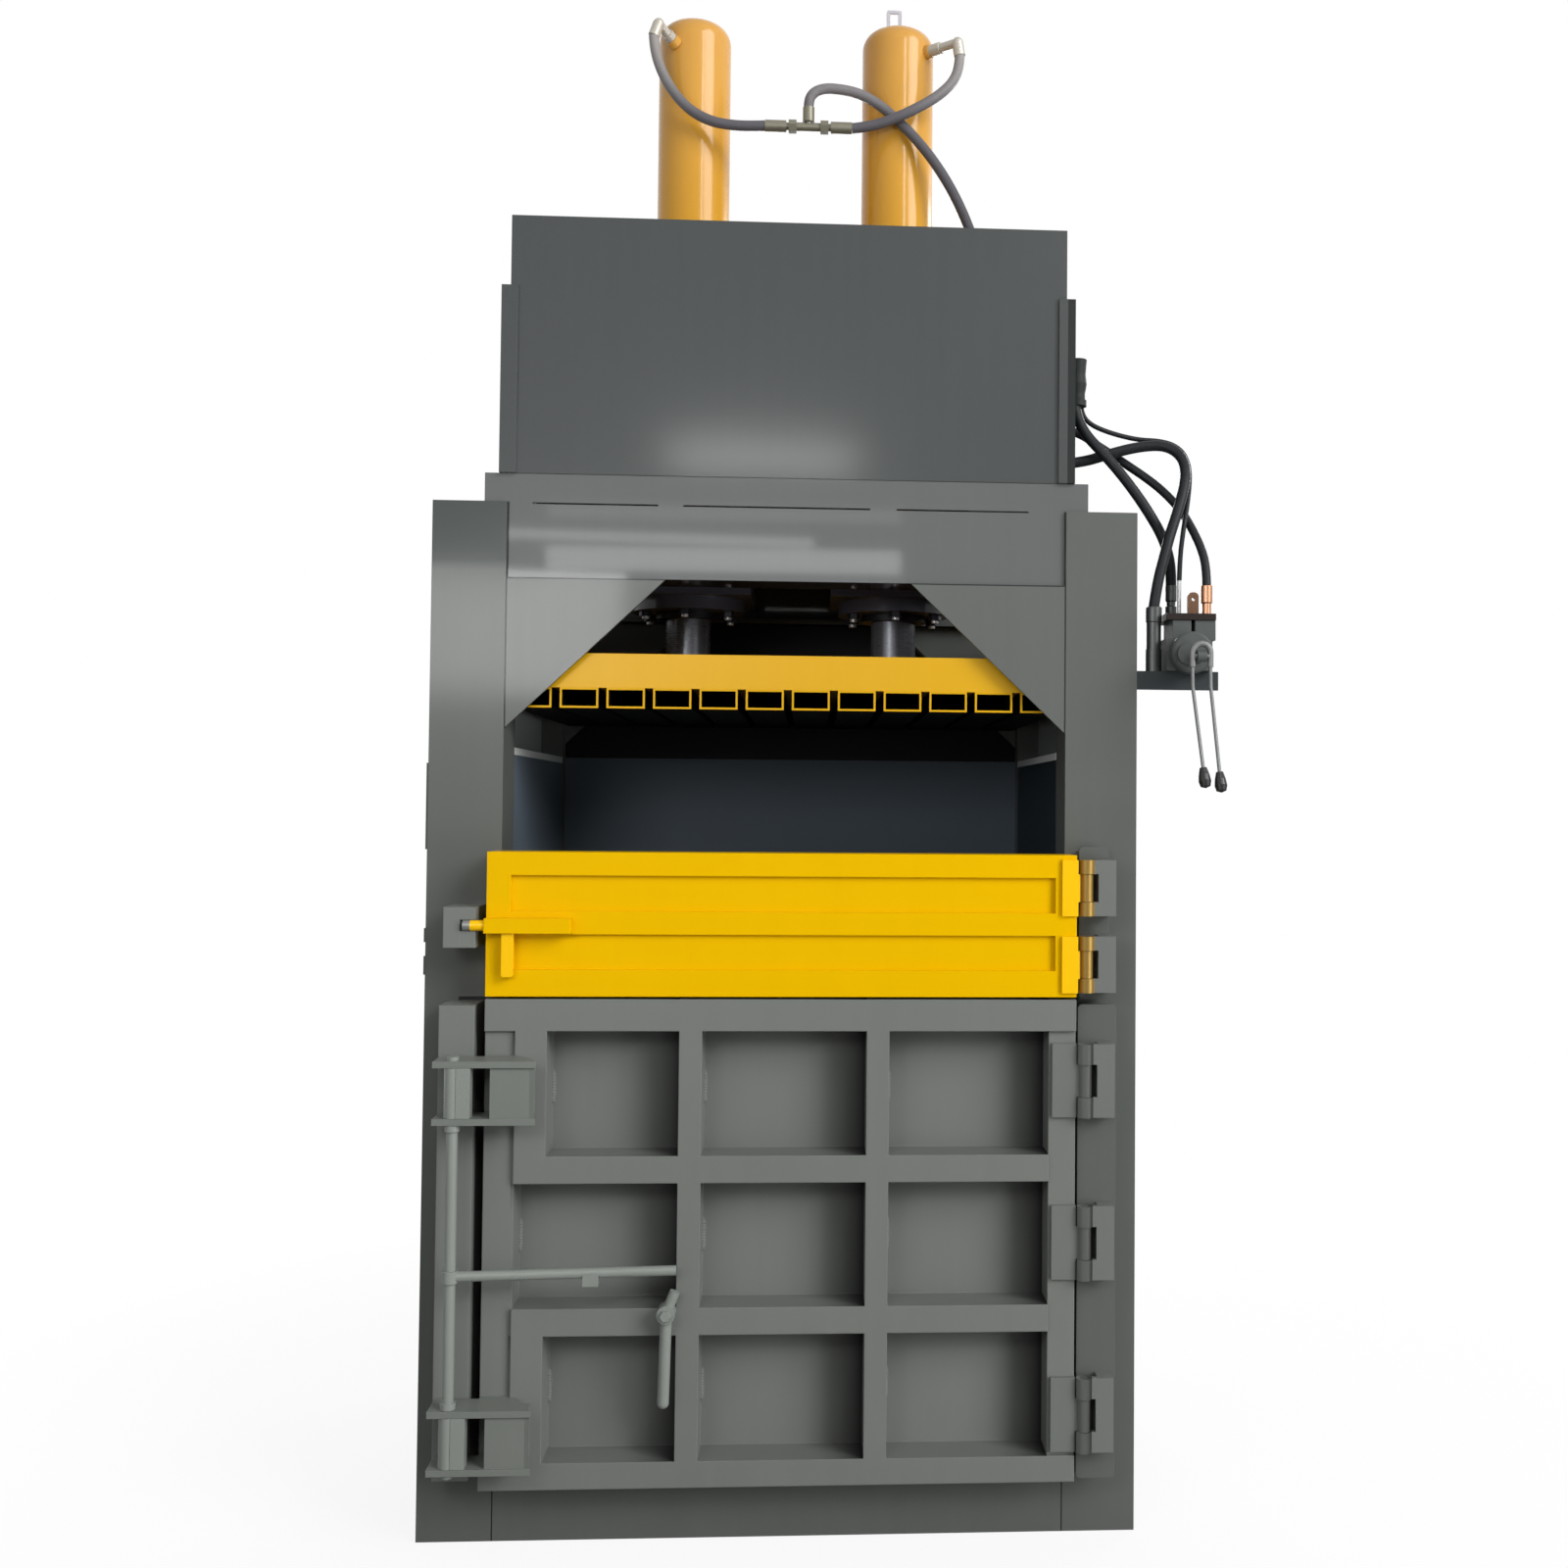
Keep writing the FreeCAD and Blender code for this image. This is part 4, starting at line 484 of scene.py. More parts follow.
class Wardrobe:
    """Makes each finish once and puts them on the model's nodes."""

    @cache
    def plain(self, finish: Finish) -> Shade:
        """The shade of a finish, made the first time it is asked for."""
        return finish.make()

    def paint_frame(self) -> None:
        """The frame's grey, with painted shadow in the gaps beside the doors, painted shadow lines at the
        base's seams, and one post darker at its top as painted shade.
        """
        shade = Enamel("frame_enamel", Greys.FRAME, gloss=0.1, lacquer=0.3, lacquer_blur=0.13).make()
        x, y, z = shade.axes()
        size = x.size()
        # painted shadow: the posts' faces seen through the gaps beside the doors are painted near black
        shadow_beside_doors = size.within(0.5525, 0.628) * (x < 0.5775) * z.within(0.135, 1.04)
        shade.overlay(shadow_beside_doors * y.within(FRONT - 0.001, FRONT + 0.0015), srgb(20, 21, 21), 0.6)
        # painted shadow line along each seam between the base and the posts
        base_seam_shadow = size.within(OPENING - 0.0012, OPENING + 0.0012) * (z < BASE_TOP - 0.0005)
        shade.overlay(base_seam_shadow * (y < FRONT + 0.001), srgb(24, 25, 25), 0.6)
        # painted shade: the left front post is darkened towards its top
        post_top_shade = (x < -0.5) * (y < 0.0) * z.ramp(1.868, 1.888)
        shade.overlay(post_top_shade * 0.75, srgb(56, 62, 61), 0.4)
        self.dress(shade, "post_front_left", "post_front_right", "post_rear_left", "post_rear_right",
                   "base_frame", "rear_gussets", "hinge_pads")

    def paint_head(self) -> None:
        """The crosshead's grey, with painted shadow lines at the seams beside the posts and a lower edge
        painted dark as painted shade.
        """
        shade = Enamel("head_enamel", Greys.HEAD, gloss=0.1, lacquer=0.5, lacquer_blur=0.055, wave=0.0003,
                       peel=0.00002).make()
        x, _, z = shade.axes()
        # painted shade: shadow lines at the seams beside the posts, and a near-black lower edge
        post_seam_shadow, lower_edge_shade = x.size().within(0.5468, 0.5505) * (z < 2.0035), z < 1.8558
        shade.overlay(post_seam_shadow, srgb(38, 40, 40), 0.6)
        shade.overlay(lower_edge_shade, srgb(14, 14, 17), 0.6)
        self.dress(shade, "crosshead_channels")

    def paint_gussets(self) -> None:
        """The corner plates' grey, with painted shadow lines along their two straight edges."""
        shade = Enamel("gusset_enamel", tint(Greys.FRAME, 1.05), gloss=0.1, lacquer=0.34,
                       lacquer_blur=0.1).make()
        x, _, z = shade.axes()
        # painted shadow lines along the gussets' top and side edges
        top_seam_shadow, side_seam_shadow = z > 1.8522, x.size() > 0.5472
        shade.overlay(top_seam_shadow.larger(side_seam_shadow), srgb(40, 42, 42), 0.6)
        self.dress(shade, "front_gussets")

    def paint_guards(self) -> None:
        """Sheets over the chamber: the frame's grey outside, lighter within as painted light, and painted
        nearly black across the back as painted shade.
        """
        # the light base tone is painted light for the inner faces, which stand in shade
        shade = Enamel("guard_enamel", srgb(150, 154, 155), Sheen.SATIN, gloss=0.15).make()
        size = shade.axes()[0].size()
        # painted shade: the sheet across the back is painted nearly black
        outside, back_shade = size > 0.6015, size < OPENING + 0.002
        shade.overlay(outside, Greys.FRAME, 0.45)
        shade.overlay(back_shade, srgb(16, 18, 21), 0.5)
        self.dress(shade, "upper_guards")

    def paint_tubes(self) -> None:
        """The platen's tubes: yellow on their cut ends, painted black along their length as painted shade."""
        shade = Enamel("tube_enamel", PLATEN_YELLOW, edge=0.001, grime=0.0).make()
        # painted shade: the tubes are painted black behind their cut ends
        shaded_length = shade.axes()[1].within(-0.4035, 0.3435)
        shade.overlay(shaded_length, srgb(12, 11, 11), 0.6)
        shade.set(Specular_IOR_Level=0.1)
        self.dress(shade, "platen_tubes")

    def paint_valve(self) -> None:
        """The valve's block: dark grey, under a lid that is browner and shinier."""
        shade = Enamel("valve_enamel", srgb(76, 80, 79), Sheen.SATIN, edge=0.001, grime=0.0).make()
        lid = shade.axes()[2] > 1.7885
        shade.overlay(lid, srgb(40, 33, 31), 0.3, 0.3)
        self.dress(shade, "valve_body")

    def paint_walls(self) -> None:
        """The chamber's side walls: dark inside, the right wall darker still as painted shade, grey outside,
        with a rim bar along the top in its own lighter paint, made lighter still as painted light.
        """
        shade = Enamel("wall_enamel", Greys.FRAME, gloss=0.15).make()
        x, _, z = shade.axes()
        size = x.size()
        inside = (size < OPENING + 0.0005) * (z < WALL_RIM)
        # the rim bar: its own lighter paint, raised further as painted light
        rim = (z > WALL_RIM) * (size < 0.592)
        # painted shade: the right wall's inside is a darker copy of the chamber's grey
        shade.overlay(inside, shade.blend(x > 0.0, Greys.CHAMBER, srgb(30, 38, 42)), 0.42)
        shade.overlay(rim, Greys.RIM, 0.4)
        self.dress(shade, "side_wall_left", "side_wall_right")

    def paint_back_wall(self) -> None:
        """The back wall: dark towards the chamber, grey behind."""
        shade = Enamel("back_enamel", Greys.FRAME, gloss=0.15).make()
        chamber_face = shade.axes()[1] < 0.3605
        shade.overlay(chamber_face, Greys.CHAMBER, 0.42)
        self.dress(shade, "back_wall")

    def paint_cylinders(self) -> None:
        """The cylinders: amber above the deck, painted paler near the top as a painted glow, and dark grey
        under it as painted shade.
        """
        coat = Enamel("cylinder_enamel", AMBER, Sheen.GLOSS, drift=0.04, wave=0.0004, edge_highlight=1.05,
                      grime=0.0, gloss=0.1, lacquer=0.4, lacquer_blur=0.12)
        shade = coat.make()
        z = shade.axes()[2]
        # painted light: the amber turns paler towards the top
        painted_top_glow = shade.blend(z.ramp(2.45, 3.12) * 0.62, coat.colour(shade), srgb(212, 160, 92))
        shade.set(Base_Color=painted_top_glow)
        # painted shade: below the deck the cylinders take the underside grey
        under_deck = z < 2.05
        shade.overlay(under_deck, Greys.UNDERSIDE, 0.4)
        self.dress(shade, "cylinder_left", "cylinder_right")

    def paint_cover(self) -> None:
        """The cover's grey, darker than the frame's as painted shade, with the right side sheet painted
        nearly black above the deck as painted shade.
        """
        shade = Enamel("cover_enamel", Greys.COVER, gloss=0.08, lacquer=0.35, lacquer_blur=0.15,
                       peel=0.0003).make()
        x, _, z = shade.axes()
        # painted shade: the right side sheet is painted nearly black above the deck
        right_sheet_shade = (x > 0.5515) * (z > 2.01)
        shade.overlay(right_sheet_shade, srgb(34, 37, 37), 0.6)
        self.dress(shade, "crosshead_deck", "cover_front", "cover_sides")

    def paint_hinges(self, base: Colour, name: str, *nodes: str) -> None:
        """Hinge leaves: paint, with worn brass knuckles above, and below, knuckles painted light on the left
        and dark on the right as painted round shading.

        Args:
            base: the leaves' own tone.
            name: what the material is called.
            nodes: the leaves.
        """
        shade = Enamel(name, base, edge=0.001).make()
        x, _, z = shade.axes()
        brass = shade.round_mask(0.581, -0.510, 0.0156) * (z > DOOR_SPLIT)
        shade.overlay(brass, BRASS, 0.4, 0.6)
        # painted shading: the lower knuckles are painted light on the left and dark on the right
        rubbed = shade.round_mask(0.578, -0.520, 0.0156) * (z < DOOR_SPLIT)
        across = shade.blend(x.ramp(0.562, 0.590), srgb(118, 121, 118), srgb(44, 46, 44))
        shade.overlay(rubbed, across, 0.4)
        self.dress(shade, *nodes)

    @cache
    def door_paint(self) -> Shade:
        """The main door's grey, with painted shadow that darkens each recess to its right and its top.

        Returns:
            The finished shade.
        """
        shade = Enamel("door_enamel", Greys.DOOR, edge=0.003, edge_highlight=1.35, gloss=0.1).make()
        x, y, z = shade.axes()
        across: Value = 0.0
        for left, right in DOOR_COLUMNS:
            across = x.within(left, right) * (1.0 - (right - x).ramp(0.0, 0.12)) + across
        above: Value = 0.0
        for low, high in DOOR_ROWS:
            above = z.within(low, high) * (1.0 - (high - z).ramp(0.0, 0.07)) + above
        # painted shadow in each recess, deepest at its right side and half as deep under its top
        recess_shadow = (across * across).larger(above * above * 0.5)
        recess = y.within(DOOR_FACE, SHEET_FACE + SKIM) * (x.size() < 0.509)
        shade.overlay(recess_shadow * recess * 0.97, srgb(16, 17, 17), 0.55)
        return shade

    @cache
    def feed_paint(self) -> Shade:
        """The feed door's yellow, painted brighter on the deep sheet behind its panels as painted light.

        Returns:
            The finished shade.
        """
        shade = Enamel("feed_enamel", srgb(222, 174, 0), Sheen.GLOSS, drift=0.03, edge_highlight=1.12,
                       grime=0.0, gloss=0.05).make()
        x, y, _ = shade.axes()
        # painted light: the recessed sheet is painted brighter than the door's yellow
        sheet = y.within(SHEET_FACE - SKIM, SHEET_FACE + SKIM) * x.within(-0.513, 0.517)
        shade.overlay(sheet, srgb(255, 226, 2), 0.3)
        return shade

    def paint_feed_bolt(self) -> None:
        """The feed door's bolt: yellow, with its tip rubbed to bare steel."""
        shade = Enamel("bolt_enamel", YELLOW, Sheen.GLOSS, edge=0.001).make()
        tip = shade.axes()[0] < -0.5862
        shade.overlay(tip, srgb(128, 130, 128), 0.4, 0.4)
        self.dress(shade, "feed_bolt")

    def plate_fittings(self) -> None:
        """The valve's fittings: a dark adapter, a copper union, a pale tube and a brown lug."""
        shade = BareMetal("valve_fitting_metal", DARK_STEEL, 0.38, 0.6).make()
        x, y, _ = shade.axes()
        union = x > 0.8265
        shade.overlay(union, COPPER, 0.32, 0.9)
        pale_tube = shade.round_mask(0.790, -0.376, 0.0055)
        shade.overlay(pale_tube, srgb(176, 178, 178), 0.3, 0.7)
        lug = x.within(0.798, 0.822) * y.within(-0.4155, -0.4045)
        shade.overlay(lug, srgb(96, 68, 48), 0.45, 0.5)
        self.dress(shade, "valve_fittings")

    def blacken_bolts(self) -> None:
        """Flange bolts: blackened nuts, with bare ends to the studs below them painted near white as a
        painted highlight.
        """
        shade = BareMetal("bolt_metal", srgb(46, 46, 52), 0.4, 0.5, gloss=0.3).make()
        # bare stud ends, painted near white as a painted highlight
        stud_ends = shade.axes()[2] < 1.8215
        shade.overlay(stud_ends, srgb(190, 190, 194), 0.35, 0.5)
        self.dress(shade, "flange_bolts")

    def plate_unions(self) -> None:
        """Plated hose unions, paler towards the top of the machine."""
        shade = BareMetal("union_metal", KHAKI, 0.42, 0.35, lines=(300.0, 300.0, 300.0)).make()
        near_top = shade.axes()[2] > 3.03
        shade.overlay(near_top, srgb(190, 184, 172), 0.4, 0.3)
        self.dress(shade, "port_elbows", "hose_tee")

    @staticmethod
    def dress(shade: Shade, *nodes: str) -> None:
        """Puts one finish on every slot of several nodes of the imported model.

        Args:
            shade: the finish.
            nodes: their names.
        """
        for name in nodes:
            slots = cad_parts[name].data.materials
            if not slots:
                slots.append(shade.material)
            for number in range(len(slots)):
                slots[number] = shade.material

    def dress_all(self) -> None:
        """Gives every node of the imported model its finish."""
        plain, dress = self.plain, self.dress
        self.paint_frame()
        self.paint_gussets()
        self.paint_head()
        self.paint_cover()
        dress(plain(Enamel("chamber_enamel", Greys.CHAMBER, gloss=0.15)), "floor_plate")
        self.paint_guards()
        self.paint_walls()
        self.paint_back_wall()
        # painted shade: the underside grey on the beams and plates under the deck
        dress(plain(Enamel("underside_enamel", Greys.UNDERSIDE, gloss=0.12)),
              "crosshead_beams", "cylinder_plates")
        self.paint_cylinders()
        dress(self.door_paint(), "main_door")
        dress(plain(Enamel("keeper_enamel", Greys.DOOR, edge=0.003, edge_highlight=1.35, gloss=0.1)),
              "latch_column", "keeper_block")
        dress(plain(Enamel("latch_enamel", Greys.LATCH, edge=0.0015)), "latch_yokes")
        dress(plain(Enamel("rod_enamel", Greys.ROD, Sheen.GLOSS, edge=0.0015)),
              "latch_shaft", "latch_lever", "catch_handle")
        self.paint_hinges(Greys.HINGE, "hinge_enamel", "hinge_frame_leaves", "main_hinge_door_leaves")
        self.paint_hinges(YELLOW, "feed_hinge_enamel", "feed_hinge_door_leaves")
        dress(self.feed_paint(), "feed_door", "bolt_housing")
        self.paint_feed_bolt()
        dress(plain(Enamel("platen_enamel", PLATEN_YELLOW, drift=0.04, edge_highlight=1.12, grime=0.0)), "platen")
        self.paint_tubes()
        dress(plain(BareMetal("rod_steel", srgb(92, 94, 100), 0.3, 0.4)), "piston_rods")
        dress(plain(BareMetal("cast_lever", srgb(112, 114, 113), 0.44, 0.35, gloss=0.3)), "valve_lever")
        dress(plain(TURNED_STEEL), "hinge_pins", "pistons")
        dress(plain(BareMetal("dull_steel", srgb(30, 31, 35), 0.42, 0.3, gloss=0.2)), "cylinder_glands")
        self.blacken_bolts()
        dress(plain(BareMetal("eye_steel", srgb(176, 174, 180), 0.4, 0.5)), "lifting_eye")
        self.paint_valve()
        dress(plain(Enamel("shelf_enamel", srgb(42, 48, 50), Sheen.SATIN, grime=0.0)), "valve_shelf")
        self.plate_fittings()
        self.plate_unions()
        dress(plain(HoseCover("gland_rubber", srgb(44, 47, 47), 0.55, 240.0)), "hose_glands")
        dress(plain(Moulded("knob_plastic", srgb(17, 18, 18))), "lever_knobs")
        dress(plain(Enamel("tank_enamel", srgb(92, 96, 98), Sheen.SATIN)), "oil_tank")
        dress(plain(MOTOR_ENAMEL), "pump_unit")


# ------------------------------------------------------------------ surfaces worked out as arrays

def add_object(name: str, data: bpy.types.ID) -> bpy.types.Object:
    """A new object at the origin, linked into the scene."""
    made = bpy.data.objects.new(name, data)
    bpy.context.scene.collection.objects.link(made)
    return made


class Skin:
    """Gathers grids of points into one mesh, then closes its seams and turns its faces outwards."""

    def __init__(self, name: str) -> None:
        """Starts an empty skin."""
        self.name = name
        self.points: list[np.ndarray] = []
        self.faces: list[list[int]] = []
        self.count = 0

    def add(self, grid: np.ndarray, caps: bool = False) -> None:
        """Adds a surface that wraps round in its second direction.

        Args:
            grid: points, by step along the surface, step round it, and axis.
            caps: whether to close both ends with one flat face each.
        """
        steps, sides = grid.shape[:2]
        index = self.count + np.arange(steps * sides).reshape(steps, sides)
        around = np.roll(index, -1, axis=1)
        quads = np.stack([index[:-1], around[:-1], around[1:], index[1:]], axis=-1).reshape(-1, 4)
        self.faces += quads.tolist()
        if caps:
            self.faces += [index[0][::-1].tolist(), index[-1].tolist()]
        self.points.append(grid.reshape(-1, 3))
        self.count += steps * sides

    def finish(self, body: str, shade: Shade, slot: str, smooth: float = 40.0) -> None:
        """Makes the piece, in place.

        Args:
            body: the moving body that it rides on.
            shade: its finish.
            slot: not used.
            smooth: degrees under which an edge is shaded smooth.
        """
        mesh = bpy.data.meshes.new(self.name)
        mesh.from_pydata(np.concatenate(self.points).tolist(), [], self.faces)
        work = bmesh.new()
        work.from_mesh(mesh)
        bmesh.ops.remove_doubles(work, verts=work.verts, dist=1e-6)
        bmesh.ops.recalc_face_normals(work, faces=work.faces)
        for face in work.faces:
            face.smooth = True
        for edge in work.edges:
            edge.smooth = len(edge.link_faces) == 2 and edge.calc_face_angle(0.0) < math.radians(smooth)
        work.to_mesh(mesh)
        work.free()
        piece = add_object(self.name, mesh)
        mesh.materials.append(shade.material)
        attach(piece, body)
        log.info("piece %s with %d faces", self.name, len(mesh.polygons))


def soft_block(centre: Point, size: Point, squareness: float = 0.22, steps: int = 14) -> np.ndarray:
    """A block with soft edges: a superellipsoid, whose sine and cosine are raised to a small power.

    Args:
        centre: its middle, in metres.
        size: its three full lengths.
        squareness: the power, smaller for sharper edges.
        steps: points along a quarter turn.

    Returns:
        A grid of points, round in its second direction.
    """
    def bent(value: np.ndarray) -> np.ndarray:
        """A value raised to the power with its sign kept."""
        return np.sign(value) * np.abs(value) ** squareness

    up, turn = np.meshgrid(np.linspace(-np.pi / 2, np.pi / 2, 2 * steps + 1),
                           np.linspace(-np.pi, np.pi, 4 * steps, endpoint=False), indexing="ij")
    unit = np.stack([bent(np.cos(up)) * bent(np.cos(turn)), bent(np.cos(up)) * bent(np.sin(turn)),
                     bent(np.sin(up))], axis=-1)
    return np.array(centre) + unit * np.array(size) / 2


def sweep(path: np.ndarray, radius: np.ndarray, sides: int = 12) -> np.ndarray:
    """A round tube: at each point of a path, a ring square to it whose radius may change.

    Args:
        path: points along the middle.
        radius: one radius for each point.
        sides: points round each ring.

    Returns:
        A grid of points, round in its second direction.
    """
    along = np.gradient(path, axis=0)
    along /= np.linalg.norm(along, axis=1, keepdims=True)
    helper = np.where(np.abs(along[:, 2:3]) > 0.9, [[1.0, 0.0, 0.0]], [[0.0, 0.0, 1.0]])
    first = np.cross(along, helper)
    first /= np.linalg.norm(first, axis=1, keepdims=True)
    second = np.cross(along, first)
    turn = np.linspace(0, 2 * np.pi, sides, endpoint=False)[None, :, None]
    ring = first[:, None, :] * np.cos(turn) + second[:, None, :] * np.sin(turn)
    return path[:, None, :] + ring * np.asarray(radius)[:, None, None]


def bead(start: Point, end: Point, leg: float, pitch: float = 0.0055) -> np.ndarray:
    """A weld bead: a tube whose radius ripples once every pitch and dies away over both ends.

    Args:
        start, end: the ends of its middle line, in metres.
        leg: its radius.
        pitch: length of one ripple.

    Returns:
        A grid of points, round in its second direction.
    """
    first, last = np.array(start), np.array(end)
    length = float(np.linalg.norm(last - first))
    share = np.linspace(0.0, 1.0, max(int(length / pitch * 5), 12))
    ripple = 1 + 0.13 * np.sin(2 * np.pi * share * length / pitch)
    fade = np.clip(np.minimum(share, 1 - share) * length / (1.4 * leg), 0.02, 1.0) ** 0.5
    return sweep(first + (last - first) * share[:, None], leg * ripple * fade, 10)


def turned(profile: Sequence[tuple[float, float]], base: Point, sides: int = 18) -> np.ndarray:
    """A lathe-turned surface: each corner of a profile carried round a line along X.

    Args:
        profile: radius and height along the line, in metres.
        base: where the height is nought.
        sides: points round the line.

    Returns:
        A grid of points, round in its second direction.
    """
    radius, height = np.array(profile).T
    turn = np.linspace(0, 2 * np.pi, sides, endpoint=False)
    first, second = radius[:, None] * np.cos(turn), radius[:, None] * np.sin(turn)
    rise = np.repeat(height[:, None], sides, axis=1)
    return np.array(base) + np.stack([rise, first, second], axis=-1)


# ------------------------------------------------------------------ hoses

@dataclass(frozen=True)
class HoseRun:
    """One hose: its route in millimetres, its diameter and real length in metres, and its cover."""

    node: str
    route: Sequence[Point]
    diameter: float
    length: float
    cover: HoseCover
    far_end: str = "object"

    def build(self, wardrobe: Wardrobe) -> None:
        """Args:
            wardrobe: where finishes are kept.
        """
        curve = bpy.data.curves.new(self.node + "_line", "CURVE")
        curve.dimensions = "3D"
        spline = curve.splines.new("NURBS")
        spline.points.add(len(self.route) - 1)
        for control, spot in zip(spline.points, self.route):
            control.co = (*(value * MM for value in spot), 1.0)
        spline.order_u = 3
        spline.use_endpoint_u = True
        spline.resolution_u = 10
        curve.bevel_depth = self.diameter / 2
        curve.bevel_resolution = 6
        curve.use_fill_caps = True
        piece = add_object(self.node + "_tube", curve)
        curve.materials.append(wardrobe.plain(self.cover).material)
        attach(piece, "frame")
        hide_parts(self.node)
        tuple(value * MM for value in self.route[0])
        log.info("hose %s", self.node)


BLACK_COVER = HoseCover("black_hose_rubber", RUBBER, 0.42)
GREY_COVER = HoseCover("grey_hose_rubber", srgb(38, 36, 39), 0.46, upper=GREY_RUBBER)

HOSES = (
    HoseRun("left_cylinder_hose", (
        (-307, -140, 3072), (-305, -141, 3041), (-289, -141, 2992), (-262, -141, 2947), (-227, -141, 2911),
        (-185, -140, 2890), (-139, -139, 2883), (-98, -140, 2882), (-66, -140, 2884)),
        0.022, 0.351, GREY_COVER),
    HoseRun("right_cylinder_hose", (
        (122, -140, 2884), (163, -143, 2888), (214, -153, 2903), (266, -158, 2927), (311, -152, 2958),
        (341, -142, 2992), (355, -132, 3027), (357, -126, 3058)),
        0.022, 0.324, GREY_COVER),
    HoseRun("supply_hose", (
        (28, -140, 2926), (28, -140, 2944), (38, -139, 2960), (56, -137, 2970), (84, -135, 2973),
        (135, -129, 2968), (178, -126, 2947), (217, -125, 2916), (255, -125, 2880), (292, -125, 2837),
        (326, -126, 2788), (356, -126, 2734), (383, -126, 2672), (407, -126, 2600), (422, -128, 2510),
        (429, -130, 2400), (425, -126, 2285)),
        0.022, 0.924, GREY_COVER),
    HoseRun("tank_hose", (
        (582, -335, 2239), (584, -338, 2217), (602, -344, 2178), (635, -352, 2141), (668, -356, 2103),
        (701, -359, 2060), (731, -360, 2016), (757, -359, 1973), (772, -356, 1934), (778, -353, 1899),
        (779, -350, 1869)),
        0.022, 0.431, BLACK_COVER),
    HoseRun("pressure_hose", (
        (573, -318, 2124), (604, -318, 2128), (648, -319, 2142), (701, -322, 2157), (745, -326, 2163),
        (773, -332, 2160), (794, -341, 2146), (805, -353, 2122), (805, -366, 2092), (797, -377, 2057),
        (783, -389, 2014), (766, -398, 1967), (752, -405, 1918), (738, -409, 1867), (731, -409, 1818)),
        0.022, 0.582, BLACK_COVER),
    HoseRun("thin_line", (
        (597, -321, 2239), (600, -320, 2223), (616, -318, 2206), (645, -315, 2194), (684, -311, 2184),
        (723, -307, 2178), (761, -304, 2178), (793, -307, 2170), (814, -317, 2149), (821, -332, 2116),
        (817, -349, 2078), (809, -365, 2036), (801, -375, 1998), (795, -379, 1962), (791, -378, 1924),
        (790, -376, 1877)),
        0.010, 0.537, BLACK_COVER),
    HoseRun("return_hose", (
        (573, -288, 2200), (599, -288, 2194), (632, -288, 2172), (667, -289, 2150), (700, -293, 2127),
        (734, -302, 2102), (762, -314, 2077), (784, -328, 2051), (803, -345, 2022), (819, -364, 1985),
        (833, -384, 1943), (840, -399, 1902), (838.5, -408, 1862)),
        0.018, 0.484, BLACK_COVER),
)


# ------------------------------------------------------------------ small pieces

@dataclass
class DoorWelds:
    """Stitch welds where the main door's upright bars meet its skin."""

    skin_y: float = -0.4402
    leg: float = 0.0065
    half: float = 0.034
    columns: Sequence[float] = (-0.444, -0.1535, 0.2015)
    rows: Sequence[float] = (0.298, 0.584, 0.868)
    middle_row_left: float = -0.503

    def build(self, wardrobe: Wardrobe) -> None:
        """Lays one bead beside each bar in each row; the middle row's first is beside the edge bar.

        Args:
            wardrobe: where finishes are kept.
        """
        skin = Skin("door_stitch_welds")
        for z in self.rows:
            for x in self.columns:
                x = self.middle_row_left if (x, z) == (self.columns[0], self.rows[1]) else x
                skin.add(bead((x, self.skin_y, z - self.half), (x, self.skin_y, z + self.half), self.leg),
                         caps=True)
        skin.finish("main_door", wardrobe.door_paint(), "frame_paint")


@dataclass
class FeedPans:
    """The feed door's two long panels: thin sheets a little behind the faces of its bars."""

    left: float = -0.515
    right: float = 0.519
    rows: Sequence[Sequence[float]] = ((1.100, 1.167), (1.210, 1.278))
    face_y: float = -0.511
    thick: float = 0.003
    tuck: float = 0.001

    def build(self, wardrobe: Wardrobe) -> None:
        """Sets one sheet in each panel, with its edges tucked into the bars.

        Args:
            wardrobe: where finishes are kept.
        """
        skin = Skin("feed_door_sheets")
        across, width = (self.left + self.right) / 2, self.right - self.left + 2 * self.tuck
        for low, high in self.rows:
            skin.add(soft_block((across, self.face_y + self.thick / 2, (low + high) / 2),
                                (width, self.thick, high - low + 2 * self.tuck), 0.004, 4))
        skin.finish("feed_door", wardrobe.feed_paint(), "door_paint")


